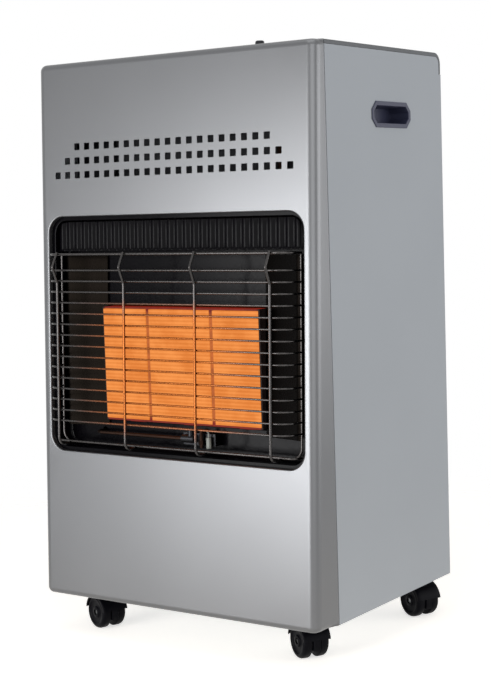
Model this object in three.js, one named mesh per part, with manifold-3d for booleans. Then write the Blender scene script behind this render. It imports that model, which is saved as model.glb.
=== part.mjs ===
// A portable gas cabinet heater on four twin-wheel casters, in millimetres, +Z up, front towards -Y.
// The cabinet group is modelled from the lower front edge of the front panel, and the whole is then
// moved so that the origin is under the middle of the heater, on the floor.
import * as THREE from "three";
import { mergeVertices } from "three/addons/utils/BufferGeometryUtils.js";
import Module from "manifold-3d";

const wasm = await Module();
wasm.setup();

// ---------------------------------------------------------------- driving dimensions

// Cabinet
const CABINET_WIDTH = 420;
const CABINET_HEIGHT = 682;
const CABINET_DEPTH = 333;
const FLOOR_CLEARANCE = 51; // floor to the cabinet's lower edge
const SHEET = 1.2; // folded steel sheet
const GAP = 0.4; // between two pieces that meet

// Front panel
const FRONT_LEAN = 30; // how far back the top of the front stands
const FRONT_RETURN_END = 50; // where the panel's side returns stop and the side panels start
const FRONT_EDGE_RADIUS = 12; // upright edges, in plan
const FRONT_RIM_RADIUS = 8; // top and bottom edges
const FRONT_BOTTOM_RETURN = 15;
const WINDOW_MARGIN = 16; // cabinet's side to the window
const WINDOW_BOTTOM = 189.5;
const WINDOW_DROP = 193; // cabinet's top to the window
const WINDOW_RADIUS = 22;
const WINDOW_LIP = 7;

// Vent holes in the front panel, in three rows
const VENT_HOLE = 8.6;
const VENT_PITCH = 16.05;
const VENT_MARGIN = 24; // least metal beside the longest row
const VENT_ROW_GAIN = 2;
const VENT_ROWS = 3;
const VENT_DROP = 106; // cabinet's top to the top row
const VENT_ROW_PITCH = 17.7;

// Top lid and control panel
const LID_SKIN = 2;
const LID_RIM = 5;
const REAR_TOP_RADIUS = 14;
const LID_REAR_DROP = 27; // how far the lid reaches down the rear
const CONTROL_X = 68;
const CONTROL_Y = 100;
const CONTROL_WIDTH = 112;
const CONTROL_DEPTH = 68;
const CONTROL_RADIUS = 12;
const CONTROL_RIM = 4;
const CONTROL_RIM_HEIGHT = 1.6;
const CONTROL_RECESS = 12;
const CONTROL_WALL = 2;
const KNOB_X = 88;
const KNOB_RADIUS = 20;
const KNOB_SKIRT = 7;
const KNOB_GRIP_WIDTH = 11.5;
const KNOB_TOP = 10; // above the lid
const KNOB_TRAVEL = 4;
const KNOB_REST_TURN = 35; // degrees, the off position of the grip
const SPINDLE_RADIUS = 4;
const BUTTON_X = 40;
const BUTTON_RADIUS = 7;
const BUTTON_TOP = 5; // above the lid
const BUTTON_TRAVEL = 5;
const IGNITER_RADIUS = 9;
const IGNITER_LENGTH = 48;

// Gas valve and pipes
const VALVE_WIDTH = 40;
const VALVE_DEPTH = 34;
const VALVE_HEIGHT = 44;
const VALVE_DROP = 12; // control panel floor to the valve body
const HOSE_TAIL_RADIUS = 5;
const HOSE_TAIL_LENGTH = 38;
const HOSE_TAIL_BORE = 2.5;
const PIPE_RADIUS = 4;
const PILOT_PIPE_RADIUS = 2.2;

// Handles in the side panels
const HANDLE_Y = 201;
const HANDLE_DROP = 82; // cabinet's top to the middle of the handle
const HANDLE_WIDTH = 95;
const HANDLE_HEIGHT = 31.5;
const HANDLE_CHAMFER = 10;
const HANDLE_DEPTH = 26;
const HANDLE_WALL = 2;
const HANDLE_FLANGE = 3;

// Base tray
const TRAY_FLANGE = 20;
const TRAY_FRONT = 16;

// Partition between the burner and the gas cylinder
const PARTITION_Y = 84;
const PARTITION_SHELF_DROP = 92; // cabinet's top to the shelf
const PARTITION_REAR_Y = 150;

// Rear cover
const REAR_FLANGE = 12;
const COVER_RECESS = 2.2; // side panel's rear edge to the flange the cover lies on
const COVER_THICKNESS = 1.4;
const COVER_SLOT_WIDTH = 70;
const COVER_SLOT_HEIGHT = 6;
const COVER_SLOT_PITCH = 18;
const COVER_SLOT_ROWS = 6;
const COVER_SLOT_COLUMNS = 3;
const COVER_SLOT_COLUMN_PITCH = 110;
const COVER_SLOT_LOW_Z = 60;
const COVER_SLOT_DROP = 242; // cabinet's top to the lowest slot of the upper group
const COVER_GRIP_WIDTH = 90;
const COVER_GRIP_HEIGHT = 24;
const COVER_GRIP_DROP = 84;
const RAIL_HEIGHT = 30;

// Burner surround behind the window
const SURROUND_FLANGE = 14;
const SURROUND_WALL = 1;
const SURROUND_DEPTH = 26;
const SURROUND_INSET = 5; // tub wall inside the window edge

// Ribbed hood over the burner
const HOOD_HEIGHT = 42;
const HOOD_DEPTH_IN = 9;
const RIB_PITCH = 12.4;
const RIB_DEPTH = 3;
const HOOD_SHEET = 1;

// Ceramic plaques and burners
const PLAQUE_FACE_Y = 33;
const PLAQUE_THICKNESS = 12;
const PLAQUE_CENTRE_WIDTH = 92;
const PLAQUE_SIDE_WIDTH = 67;
const PLAQUE_HEIGHT = 139;
const PLAQUE_RISE = 42.5; // window's lower edge to the plaques
const BURNER_WALL = 2;
const BURNER_PLENUM = 24;
const VENTURI_RADIUS = 11;
const VENTURI_WALL = 1.5;
const VENTURI_LENGTH = 62;
const REFLECTOR_REACH = 58;
const REFLECTOR_DEEP = 30; // inner edge, behind the front face
const REFLECTOR_SHALLOW = 16; // outer edge

// Gas rail with injectors
const RAIL_RADIUS = 6;
const INJECTOR_RADIUS = 5;
const INJECTOR_LENGTH = 12;
const INJECTOR_BORE = 1.2;
const INJECTOR_TO_VENTURI = 8;

// Pilot assembly under the plaques
const PILOT_X = 20;
const PILOT_DROP = 18; // plaques' lower edge to the pilot
const PILOT_RADIUS = 5;
const PILOT_TUBE_LEFT = 12;
const PILOT_BRACKET_LEFT = 14;
const PILOT_BRACKET_RIGHT = 34;
const PROBE_OFFSET = 16; // pilot to the thermocouple
const ELECTRODE_OFFSET = 27; // pilot to the electrode
const PROBE_RADIUS = 2.4;
const ELECTRODE_RADIUS = 1.8;

// Wire guard
const GUARD_CLEARANCE = 11; // window's side to the guard
const GUARD_BOW = 19; // front wires ahead of the front panel
const GUARD_BEND = 18;
const GUARD_WIRE = 1.5; // radius
const GUARD_UPRIGHT = 2; // radius
const GUARD_BAR_PITCH = 13.57;
const GUARD_BAR_DROP = 20; // top wire to the first bar
const GUARD_BAR_END = 26; // least room between the last bar and the bottom wire
const GUARD_TOP_DROP = 48; // window's top to the guard
const GUARD_BOTTOM_RISE = 13.5; // window's lower edge to the guard
const GUARD_REAR = 12; // rear loop behind the front face
const GUARD_UPRIGHT_INNER = 54;
const GUARD_UPRIGHT_INSET = 21.5; // guard's side to the outer upright
const GUARD_UPRIGHT_BOW = 21.5;
const GUARD_KINK = 9;

// Cylinder retainer on the base tray
const RETAINER_CLEARANCE = 4.8; // to the partition and to the rear flange
const RETAINER_HEIGHT = 22;
const RETAINER_THICKNESS = 2;
const RETAINER_FOOT = 14;

// Casters
const CASTER_SIDE_INSET = 42;
const CASTER_FRONT_INSET = 61;
const CASTER_REAR_INSET = 30;
const CASTER_TRAIL = 16;
const WHEEL_RADIUS = 21.5;
const WHEEL_WIDTH = 11.5;
const WHEEL_SHOULDER = 4;
const CASTER_WEB = 9.4;
const AXLE_RADIUS = 3.5;
const PIN_RADIUS = 2.8;
const BORE_CLEARANCE = 0.4; // radius, running holes
const HOOD_CLEARANCE = 1.2;
const HOOD_SHELL = 1.8;
const HOOD_SIDE_CLEARANCE = 2;
const HOOD_HEM = 4; // axle to the hood's lower edge
const WEB_DROP = 10; // axle to the web's lower edge
const CASTER_COLLAR = 8; // radius, over the hood
const CASTER_PLATE_RADIUS = 19;
const CASTER_PLATE = 3;
const CASTER_TURNS = { front_left: -20, front_right: 148, rear_right: -25, rear_left: 205 };

// ---------------------------------------------------------------- derived values

const HALF_WIDTH = CABINET_WIDTH / 2;
const LEAN_ANGLE = Math.atan2(FRONT_LEAN, CABINET_HEIGHT);
const TRAY_Z = SHEET + FRONT_RIM_RADIUS;
const SIDE_START = FRONT_RETURN_END + GAP;
const SIDE_TOP = CABINET_HEIGHT - LID_RIM - GAP;
const INNER_HALF = HALF_WIDTH - SHEET;
const WINDOW_WIDTH = CABINET_WIDTH - 2 * WINDOW_MARGIN;
const WINDOW_TOP = CABINET_HEIGHT - WINDOW_DROP;
const WINDOW_HEIGHT = WINDOW_TOP - WINDOW_BOTTOM;
const WINDOW_Z = (WINDOW_TOP + WINDOW_BOTTOM) / 2;
const VENT_LONGEST_ROW = Math.floor((CABINET_WIDTH - 2 * VENT_MARGIN) / VENT_PITCH);
const VENT_TOP_Z = CABINET_HEIGHT - VENT_DROP;
const HANDLE_Z = CABINET_HEIGHT - HANDLE_DROP;
const CONTROL_FLOOR = CABINET_HEIGHT - CONTROL_RECESS;
const PARTITION_SHELF_Z = CABINET_HEIGHT - PARTITION_SHELF_DROP;
const LID_REACH = CABINET_HEIGHT - LID_REAR_DROP;
const RAIL_TOP = LID_REACH + 2;
const FLANGE_Y = CABINET_DEPTH - COVER_RECESS - SHEET;
const HOOD_BOTTOM = WINDOW_TOP - HOOD_HEIGHT;
const PLAQUE_BOTTOM = WINDOW_BOTTOM + PLAQUE_RISE;
const PLAQUE_TOP = PLAQUE_BOTTOM + PLAQUE_HEIGHT;
const BURNER_BACK = PLAQUE_FACE_Y + PLAQUE_THICKNESS + BURNER_PLENUM;
const VENTURI_Y = BURNER_BACK - BURNER_WALL - VENTURI_RADIUS - GAP;
const VENTURI_BOTTOM = PLAQUE_BOTTOM - BURNER_WALL - VENTURI_LENGTH;
const INJECTOR_TOP = VENTURI_BOTTOM - INJECTOR_TO_VENTURI;
const RAIL_Z = INJECTOR_TOP - INJECTOR_LENGTH - RAIL_RADIUS - GAP;
const SIDE_PLAQUE_X = (PLAQUE_CENTRE_WIDTH + PLAQUE_SIDE_WIDTH) / 2 + 2 * BURNER_WALL + 3 * GAP;
const PLAQUES = {
  left: { x: -SIDE_PLAQUE_X, width: PLAQUE_SIDE_WIDTH },
  centre: { x: 0, width: PLAQUE_CENTRE_WIDTH },
  right: { x: SIDE_PLAQUE_X, width: PLAQUE_SIDE_WIDTH },
};
const BURNER_HALF = PLAQUES.right.x + PLAQUE_SIDE_WIDTH / 2 + BURNER_WALL + GAP;
const PILOT_PIPE_X = -BURNER_HALF - 10;
const PILOT_Z = PLAQUE_BOTTOM - PILOT_DROP;
const PILOT_Y = PLAQUE_FACE_Y - PILOT_RADIUS - 4;
const VALVE_TOP = CONTROL_FLOOR - CONTROL_WALL - VALVE_DROP;
const VALVE_BOTTOM = VALVE_TOP - VALVE_HEIGHT;
const GUARD_HALF_WIDTH = WINDOW_WIDTH / 2 - GUARD_CLEARANCE;
const GUARD_TOP = WINDOW_TOP - GUARD_TOP_DROP;
const GUARD_BOTTOM = WINDOW_BOTTOM + GUARD_BOTTOM_RISE;
const GUARD_BAR_TOP = GUARD_TOP - GUARD_BAR_DROP;
const GUARD_BARS = 1 + Math.floor((GUARD_BAR_TOP - GUARD_BOTTOM - GUARD_BAR_END) / GUARD_BAR_PITCH);
const GUARD_UPRIGHT_OUTER = GUARD_HALF_WIDTH - GUARD_UPRIGHT_INSET;
const GUARD_UPRIGHT_X = [-GUARD_UPRIGHT_OUTER, -GUARD_UPRIGHT_INNER, GUARD_UPRIGHT_INNER, GUARD_UPRIGHT_OUTER];
const RETAINER_RADIUS = (FLANGE_Y - PARTITION_Y) / 2 - RETAINER_CLEARANCE;
const CASTER_X = HALF_WIDTH - CASTER_SIDE_INSET;
const CASTER_REAR_Y = CABINET_DEPTH - CASTER_REAR_INSET;

// ---------------------------------------------------------------- materials

function finish(color, roughness, metalness) {
  return new THREE.MeshStandardMaterial({ color, roughness, metalness });
}

const silverPaint = finish(0xb4b8ba, 0.35, 0.6);
const sidePaint = finish(0xa0a5ab, 0.5, 0.4);
const lidPlastic = finish(0x3a3d42, 0.55, 0);
const blackPlastic = finish(0x17181c, 0.5, 0);
const handlePlastic = finish(0x22252f, 0.55, 0);
const blackEnamel = finish(0x111114, 0.3, 0.1);
const galvanised = finish(0x9aa0a4, 0.45, 0.9);
const aluminised = finish(0x8e9296, 0.5, 0.9);
const polishedSteel = finish(0x74777a, 0.25, 1);
const ceramic = finish(0xe39a5a, 0.9, 0);
const chromedWire = finish(0xb0b2b4, 0.25, 1);
const brass = finish(0xb5945a, 0.35, 1);
const steel = finish(0x8b8f93, 0.4, 1);
const copper = finish(0xa86f4c, 0.35, 1);
const porcelain = finish(0xe8e4da, 0.4, 0);
const tyreNylon = finish(0x141518, 0.6, 0);

// ---------------------------------------------------------------- shape helpers

// A closed geometry as a solid that can be joined and cut.
function solid(geometry) {
  const bare = geometry.clone();
  bare.deleteAttribute("normal");
  bare.deleteAttribute("uv");
  const merged = mergeVertices(bare, 1e-4);
  return new wasm.Manifold(
    new wasm.Mesh({
      numProp: 3,
      vertProperties: new Float32Array(merged.attributes.position.array),
      triVerts: new Uint32Array(merged.index.array),
    }),
  );
}

function geometryOf(body) {
  const mesh = body.getMesh();
  const geometry = new THREE.BufferGeometry();
  const positions = new Float32Array(mesh.vertProperties);
  geometry.setAttribute("position", new THREE.BufferAttribute(positions, 3));
  geometry.setIndex(new THREE.BufferAttribute(new Uint32Array(mesh.triVerts), 1));
  const faceted = geometry.toNonIndexed();
  faceted.computeVertexNormals();
  return faceted;
}

function join(...bodies) {
  return bodies.reduce((whole, body) => whole.add(body));
}

function piece(name, body, material) {
  const geometry = body.isBufferGeometry ? body : geometryOf(body);
  const mesh = new THREE.Mesh(geometry, material);
  mesh.name = name;
  return mesh;
}

// Turns a shape's plane: "z" is seen from above (x, y), "y" from the front (x, z), "x" from the side (y, z).
function prism(shape, axis, from, to, curveSegments = 4) {
  const geometry = new THREE.ExtrudeGeometry(shape, {
    depth: to - from,
    bevelEnabled: false,
    curveSegments,
  });
  if (axis === "z") geometry.translate(0, 0, from);
  if (axis === "y") geometry.rotateX(Math.PI / 2).translate(0, to, 0);
  if (axis === "x") {
    const turn = new THREE.Matrix4().makeBasis(
      new THREE.Vector3(0, 1, 0),
      new THREE.Vector3(0, 0, 1),
      new THREE.Vector3(1, 0, 0),
    );
    geometry.applyMatrix4(turn).translate(from, 0, 0);
  }
  return solid(geometry);
}

function block(x0, x1, y0, y1, z0, z1) {
  const geometry = new THREE.BoxGeometry(x1 - x0, y1 - y0, z1 - z0);
  return solid(geometry.translate((x0 + x1) / 2, (y0 + y1) / 2, (z0 + z1) / 2));
}

// A round bar from one point to another.
function rod(radius, start, end, segments = 16) {
  const a = new THREE.Vector3(...start);
  const b = new THREE.Vector3(...end);
  const geometry = new THREE.CylinderGeometry(radius, radius, a.distanceTo(b), segments);
  const along = b.clone().sub(a).normalize();
  const turn = new THREE.Quaternion().setFromUnitVectors(new THREE.Vector3(0, 1, 0), along);
  geometry.applyQuaternion(turn).translate((a.x + b.x) / 2, (a.y + b.y) / 2, (a.z + b.z) / 2);
  return solid(geometry);
}

function roundedRectangle(x, y, width, height, radius) {
  const shape = new THREE.Shape();
  const [l, r, b, t] = [x - width / 2, x + width / 2, y - height / 2, y + height / 2];
  shape.moveTo(l + radius, b);
  shape.lineTo(r - radius, b);
  shape.absarc(r - radius, b + radius, radius, -Math.PI / 2, 0);
  shape.lineTo(r, t - radius);
  shape.absarc(r - radius, t - radius, radius, 0, Math.PI / 2);
  shape.lineTo(l + radius, t);
  shape.absarc(l + radius, t - radius, radius, Math.PI / 2, Math.PI);
  shape.lineTo(l, b + radius);
  shape.absarc(l + radius, b + radius, radius, Math.PI, 1.5 * Math.PI);
  shape.closePath();
  return shape;
}

// An octagon: a rectangle with its corners cut by depth and height shares of the chamfer.
function chamferedRectangle(x, y, width, height, chamfer) {
  const [w, h] = [width / 2, height / 2];
  const points = [
    [-w + chamfer, -h], [w - chamfer, -h], [w, -h + chamfer], [w, h - chamfer],
    [w - chamfer, h], [-w + chamfer, h], [-w, h - chamfer], [-w, -h + chamfer],
  ];
  return new THREE.Shape(points.map(([px, py]) => new THREE.Vector2(x + px, y + py)));
}

// A wire's centre line, given by its own bend points, so that straight runs need no extra steps.
class BentLine extends THREE.Curve {
  constructor(points) {
    super();
    this.points = points.map((p) => new THREE.Vector3(...p));
  }
  getPoint(t, target = new THREE.Vector3()) {
    const place = t * (this.points.length - 1);
    const index = Math.min(Math.floor(place), this.points.length - 2);
    return target.copy(this.points[index]).lerp(this.points[index + 1], place - index);
  }
  getPointAt(t, target) {
    return this.getPoint(t, target);
  }
  getSpacedPoints() {
    return this.points.map((p) => p.clone());
  }
  getTangentAt(t, target = new THREE.Vector3()) {
    const last = this.points.length - 1;
    const index = Math.round(t * last);
    const before = this.points[Math.max(index - 1, 0)];
    const here = this.points[index];
    const after = this.points[Math.min(index + 1, last)];
    const arriving = here.clone().sub(index > 0 ? before : here).normalize();
    const leaving = after.clone().sub(index < last ? here : after).normalize();
    return target.copy(arriving.add(leaving)).normalize();
  }
}

// A wire or pipe of the given radius along its bend points.
function wire(points, radius, sides = 6) {
  const corners = Array.from({ length: sides }, (_, i) => {
    const angle = (2 * Math.PI * i) / sides;
    return new THREE.Vector2(radius * Math.cos(angle), radius * Math.sin(angle));
  });
  const geometry = new THREE.ExtrudeGeometry(new THREE.Shape(corners), {
    steps: points.length - 1,
    bevelEnabled: false,
    extrudePath: new BentLine(points),
  });
  return solid(geometry);
}

// Points on a quarter bend in the plane of two unit directions, from the first leg to the second.
function bend(corner, radius, cameAlong, leavesAlong, steps = 3) {
  const c = new THREE.Vector3(...corner);
  const a = new THREE.Vector3(...cameAlong);
  const b = new THREE.Vector3(...leavesAlong);
  const centre = c.clone().addScaledVector(a, -radius).addScaledVector(b, radius);
  return Array.from({ length: steps + 1 }, (_, i) => {
    const angle = (Math.PI / 2) * (i / steps);
    const p = centre.clone();
    p.addScaledVector(b, -radius * Math.cos(angle)).addScaledVector(a, radius * Math.sin(angle));
    return p.toArray();
  });
}

// A closed skin through stacked level outlines that all have the same number of points.
function loft(levels) {
  const count = levels[0].points.length;
  const positions = levels.flatMap(({ z, points }) => points.flatMap(([x, y]) => [x, y, z]));
  const index = [];
  for (let l = 0; l < levels.length - 1; l++) {
    for (let i = 0; i < count; i++) {
      const j = (i + 1) % count;
      const [a, b] = [l * count + i, l * count + j];
      const [c, d] = [a + count, b + count];
      index.push(a, b, d, a, d, c);
    }
  }
  const cap = (level) =>
    THREE.ShapeUtils.triangulateShape(level.points.map(([x, y]) => new THREE.Vector2(x, y)), []);
  const top = (levels.length - 1) * count;
  for (const [a, b, c] of cap(levels[0])) index.push(c, b, a);
  for (const [a, b, c] of cap(levels[levels.length - 1])) index.push(top + a, top + b, top + c);
  const geometry = new THREE.BufferGeometry();
  geometry.setAttribute("position", new THREE.Float32BufferAttribute(positions, 3));
  geometry.setIndex(index);
  return solid(geometry);
}

// ---------------------------------------------------------------- front panel

const frontAt = (z) => (FRONT_LEAN * z) / CABINET_HEIGHT;

// The panel's outline in plan at one height, set in by an amount from its front and sides.
function frontOutline(z, inset, back) {
  const half = HALF_WIDTH - inset;
  const front = frontAt(z) + inset;
  const radius = FRONT_EDGE_RADIUS - inset;
  const steps = 5;
  const arc = (cx, start) =>
    Array.from({ length: steps + 1 }, (_, i) => {
      const angle = start + (Math.PI / 2) * (i / steps);
      return [cx + radius * Math.cos(angle), front + radius + radius * Math.sin(angle)];
    });
  return [
    [-half, back],
    ...arc(-half + radius, Math.PI),
    ...arc(half - radius, 1.5 * Math.PI),
    [half, back],
  ];
}

// The panel's full form, with its top and bottom rims rounded, shrunk by an offset on every face.
function frontBody(offset, back) {
  const radius = FRONT_RIM_RADIUS;
  const steps = 4;
  const rim = Array.from({ length: steps + 1 }, (_, i) => (Math.PI / 2) * (i / steps));
  const level = (z, inset) => ({ z, points: frontOutline(z, inset + offset, back) });
  const lower = rim.map((a) => level(offset + radius - radius * Math.cos(a), radius * (1 - Math.sin(a))));
  const upper = rim.map((a) =>
    level(CABINET_HEIGHT - offset - radius + radius * Math.sin(a), radius * (1 - Math.cos(a))),
  );
  return loft([...lower, ...upper]);
}

function ventHoles() {
  const holes = [];
  for (let row = 0; row < VENT_ROWS; row++) {
    const count = VENT_LONGEST_ROW - (VENT_ROWS - 1 - row) * VENT_ROW_GAIN;
    const z = VENT_TOP_Z - row * VENT_ROW_PITCH;
    for (let i = 0; i < count; i++) {
      const x = (i - (count - 1) / 2) * VENT_PITCH;
      const [x0, x1] = [x - VENT_HOLE / 2, x + VENT_HOLE / 2];
      holes.push(block(x0, x1, -1, FRONT_RETURN_END, z - VENT_HOLE / 2, z + VENT_HOLE / 2));
    }
  }
  return wasm.Manifold.union(holes);
}

function frontPanel() {
  const back = FRONT_RETURN_END;
  const pan = frontBody(0, back).subtract(frontBody(SHEET, back + 1));
  const lowerOpening = block(-INNER_HALF, INNER_HALF, FRONT_BOTTOM_RETURN, back + 1, -1, SHEET + 1);
  const lipOutside = roundedRectangle(
    0, WINDOW_Z, WINDOW_WIDTH + 2 * SHEET, WINDOW_HEIGHT + 2 * SHEET, WINDOW_RADIUS + SHEET,
  );
  const opening = roundedRectangle(0, WINDOW_Z, WINDOW_WIDTH, WINDOW_HEIGHT, WINDOW_RADIUS);
  const lean = (body) => body.rotate([-THREE.MathUtils.radToDeg(LEAN_ANGLE), 0, 0]);
  const lip = lean(prism(lipOutside, "y", SHEET / 2, WINDOW_LIP));
  const cut = lean(prism(opening, "y", -2, WINDOW_LIP + 1));
  const body = pan.subtract(lowerOpening).subtract(ventHoles()).add(lip).subtract(cut);
  return piece("front_panel", body, silverPaint);
}

// ---------------------------------------------------------------- cabinet sheets

// The side view of the cabinet behind the front panel, with its rounded rear top corner, set in by an amount.
function sideOutline(inset, bottom, front = SIDE_START) {
  const [rear, top, radius] = [CABINET_DEPTH - inset, CABINET_HEIGHT - inset, REAR_TOP_RADIUS - inset];
  const shape = new THREE.Shape();
  shape.moveTo(front, bottom);
  shape.lineTo(rear, bottom);
  shape.lineTo(rear, top - radius);
  shape.absarc(rear - radius, top - radius, radius, 0, Math.PI / 2);
  shape.lineTo(front, top);
  shape.closePath();
  return shape;
}

function handleOutline(grow) {
  return chamferedRectangle(
    HANDLE_Y, HANDLE_Z, HANDLE_WIDTH + 2 * grow, HANDLE_HEIGHT + 2 * grow, HANDLE_CHAMFER,
  );
}

function sidePanel(name, side) {
  const underLid = prism(sideOutline(LID_RIM + GAP, 0), "x", INNER_HALF, HALF_WIDTH);
  const belowLid = block(INNER_HALF, HALF_WIDTH, SIDE_START, CABINET_DEPTH, 0, LID_REACH - GAP);
  const sheet = join(underLid, belowLid);
  const frontFlange = block(
    INNER_HALF - REAR_FLANGE, INNER_HALF + SHEET / 2, SIDE_START, SIDE_START + SHEET,
    TRAY_Z + TRAY_FLANGE + 2, SIDE_TOP - REAR_TOP_RADIUS,
  );
  const rearFlange = block(
    INNER_HALF - REAR_FLANGE, INNER_HALF + SHEET / 2, FLANGE_Y, FLANGE_Y + SHEET,
    TRAY_Z + TRAY_FLANGE + 2, RAIL_TOP - RAIL_HEIGHT - GAP,
  );
  const hole = prism(handleOutline(-HANDLE_FLANGE), "x", INNER_HALF - 1, HALF_WIDTH + 1);
  let body = join(sheet, frontFlange, rearFlange).subtract(hole);
  if (side < 0) body = body.mirror([1, 0, 0]);
  return piece(name, body, sidePaint);
}

function handleCup(name, side) {
  const inside = INNER_HALF - HANDLE_DEPTH;
  const fit = -HANDLE_FLANGE - GAP;
  const wall = prism(handleOutline(fit), "x", inside, HALF_WIDTH + GAP + 0.2);
  const flange = prism(handleOutline(0), "x", HALF_WIDTH + GAP, HALF_WIDTH + GAP + 1);
  const hollow = prism(handleOutline(fit - HANDLE_WALL), "x", inside + HANDLE_WALL, HALF_WIDTH + 5);
  let body = join(wall, flange).subtract(hollow);
  if (side < 0) body = body.mirror([1, 0, 0]);
  return piece(name, body, handlePlastic);
}

function topLid() {
  const outside = prism(sideOutline(0, LID_REACH), "x", -HALF_WIDTH, HALF_WIDTH);
  const under = prism(sideOutline(LID_RIM, 0, 0), "x", -HALF_WIDTH - 1, HALF_WIDTH + 1);
  const inner = HALF_WIDTH - LID_SKIN;
  const underSkin = prism(sideOutline(LID_SKIN, 0, 0), "x", -inner, inner);
  const hole = roundedRectangle(
    CONTROL_X, CONTROL_Y, CONTROL_WIDTH - 2 * CONTROL_RIM, CONTROL_DEPTH - 2 * CONTROL_RIM,
    CONTROL_RADIUS - CONTROL_RIM,
  );
  const cut = prism(hole, "z", CABINET_HEIGHT - LID_SKIN - 1, CABINET_HEIGHT + 1);
  return piece("top_lid", outside.subtract(under).subtract(underSkin).subtract(cut), lidPlastic);
}

function baseTray() {
  const half = INNER_HALF - GAP;
  const [front, rear] = [TRAY_FRONT, FLANGE_Y - GAP];
  const [bottom, top] = [TRAY_Z, TRAY_Z + TRAY_FLANGE];
  const outer = block(-half, half, front, rear, bottom, top);
  const inner = block(-half + SHEET, half - SHEET, front + SHEET, rear - SHEET, bottom + SHEET, top + 1);
  return piece("base_tray", outer.subtract(inner), galvanised);
}

function partition() {
  const half = INNER_HALF - REAR_FLANGE - 2;
  const floor = TRAY_Z + SHEET + GAP;
  const shelf = PARTITION_SHELF_Z;
  const lower = block(-half, half, PARTITION_Y, PARTITION_Y + SHEET, floor, shelf);
  const step = block(-half, half, PARTITION_Y, PARTITION_REAR_Y + SHEET, shelf - SHEET, shelf);
  const top = CABINET_HEIGHT - LID_SKIN - GAP;
  const upper = block(-half, half, PARTITION_REAR_Y, PARTITION_REAR_Y + SHEET, shelf - SHEET, top);
  const passage = rod(
    HOSE_TAIL_RADIUS + 3, [KNOB_X, PARTITION_REAR_Y - 2, hoseTailZ()], [KNOB_X, PARTITION_REAR_Y + 4, hoseTailZ()],
  );
  return piece("burner_partition", join(lower, step, upper).subtract(passage), galvanised);
}

function rearRail() {
  const half = HALF_WIDTH - LID_SKIN - GAP;
  const rail = block(-half, half, FLANGE_Y, FLANGE_Y + SHEET, RAIL_TOP - RAIL_HEIGHT, RAIL_TOP);
  const foot = block(-half, half, FLANGE_Y - REAR_FLANGE, FLANGE_Y + SHEET, RAIL_TOP - SHEET, RAIL_TOP);
  return piece("rear_top_rail", join(rail, foot), galvanised);
}

function coverSlots(z0) {
  const slots = [];
  for (let row = 0; row < COVER_SLOT_ROWS; row++) {
    for (let column = 0; column < COVER_SLOT_COLUMNS; column++) {
      const x = (column - (COVER_SLOT_COLUMNS - 1) / 2) * COVER_SLOT_COLUMN_PITCH;
      const z = z0 + row * COVER_SLOT_PITCH;
      slots.push(block(
        x - COVER_SLOT_WIDTH / 2, x + COVER_SLOT_WIDTH / 2, FLANGE_Y, CABINET_DEPTH + 1,
        z, z + COVER_SLOT_HEIGHT,
      ));
    }
  }
  return wasm.Manifold.union(slots);
}

function rearCover() {
  const half = INNER_HALF - GAP;
  const y0 = FLANGE_Y + SHEET + GAP;
  const top = LID_REACH - GAP;
  const sheet = block(-half, half, y0, y0 + COVER_THICKNESS, TRAY_Z, top);
  const gripZ = CABINET_HEIGHT - COVER_GRIP_DROP;
  const grip = roundedRectangle(0, gripZ, COVER_GRIP_WIDTH, COVER_GRIP_HEIGHT, 10);
  const gripHole = prism(grip, "y", y0 - 1, y0 + COVER_THICKNESS + 1);
  const body = sheet
    .subtract(gripHole)
    .subtract(coverSlots(COVER_SLOT_LOW_Z))
    .subtract(coverSlots(CABINET_HEIGHT - COVER_SLOT_DROP));
  return piece("rear_cover", body, sidePaint);
}

// A hoop on the tray that keeps the gas cylinder in place.
function cylinderRetainer() {
  const y = (PARTITION_Y + FLANGE_Y) / 2;
  const floor = TRAY_Z + SHEET + GAP;
  const ring = (radius, z0, z1) => rod(radius, [0, y, z0], [0, y, z1], 40);
  const outer = RETAINER_RADIUS - RETAINER_FOOT;
  const hoop = ring(outer, floor, floor + RETAINER_HEIGHT);
  const foot = ring(RETAINER_RADIUS, floor, floor + RETAINER_THICKNESS);
  const inside = ring(outer - RETAINER_THICKNESS, floor - 1, floor + RETAINER_HEIGHT + 1);
  const mouth = block(-outer / 2, outer / 2, y, y + RETAINER_RADIUS + 2, floor - 1, floor + RETAINER_HEIGHT + 1);
  return piece("cylinder_retainer", join(hoop, foot).subtract(inside).subtract(mouth), galvanised);
}

// ---------------------------------------------------------------- window: surround, hood, guard (in the leaning frame)

function burnerSurround() {
  const width = WINDOW_WIDTH - 2 * SURROUND_INSET;
  const height = WINDOW_HEIGHT - 2 * SURROUND_INSET;
  const radius = WINDOW_RADIUS - SURROUND_INSET;
  const start = WINDOW_LIP + GAP;
  const end = start + SURROUND_DEPTH;
  const flange = roundedRectangle(
    0, WINDOW_Z, width + 2 * SURROUND_FLANGE, height + 2 * SURROUND_FLANGE, radius + SURROUND_FLANGE,
  );
  const outside = roundedRectangle(0, WINDOW_Z, width, height, radius);
  const inside = roundedRectangle(
    0, WINDOW_Z, width - 2 * SURROUND_WALL, height - 2 * SURROUND_WALL, radius - SURROUND_WALL,
  );
  const opening = block(
    -BURNER_HALF - 1, BURNER_HALF + 1, end - 3, end + 2, PLAQUE_BOTTOM - 3, PLAQUE_TOP + 6,
  );
  const pipeHole = rod(
    PILOT_PIPE_RADIUS + 2, [PILOT_PIPE_X, end - 3, PILOT_Z + 1.7], [PILOT_PIPE_X, end + 2, PILOT_Z + 1.7],
  );
  const tub = join(prism(flange, "y", start, start + SURROUND_WALL), prism(outside, "y", start, end))
    .subtract(prism(inside, "y", start - 1, end - SURROUND_WALL))
    .subtract(opening)
    .subtract(pipeHole);
  return piece("burner_surround", tub, blackEnamel);
}

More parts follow.
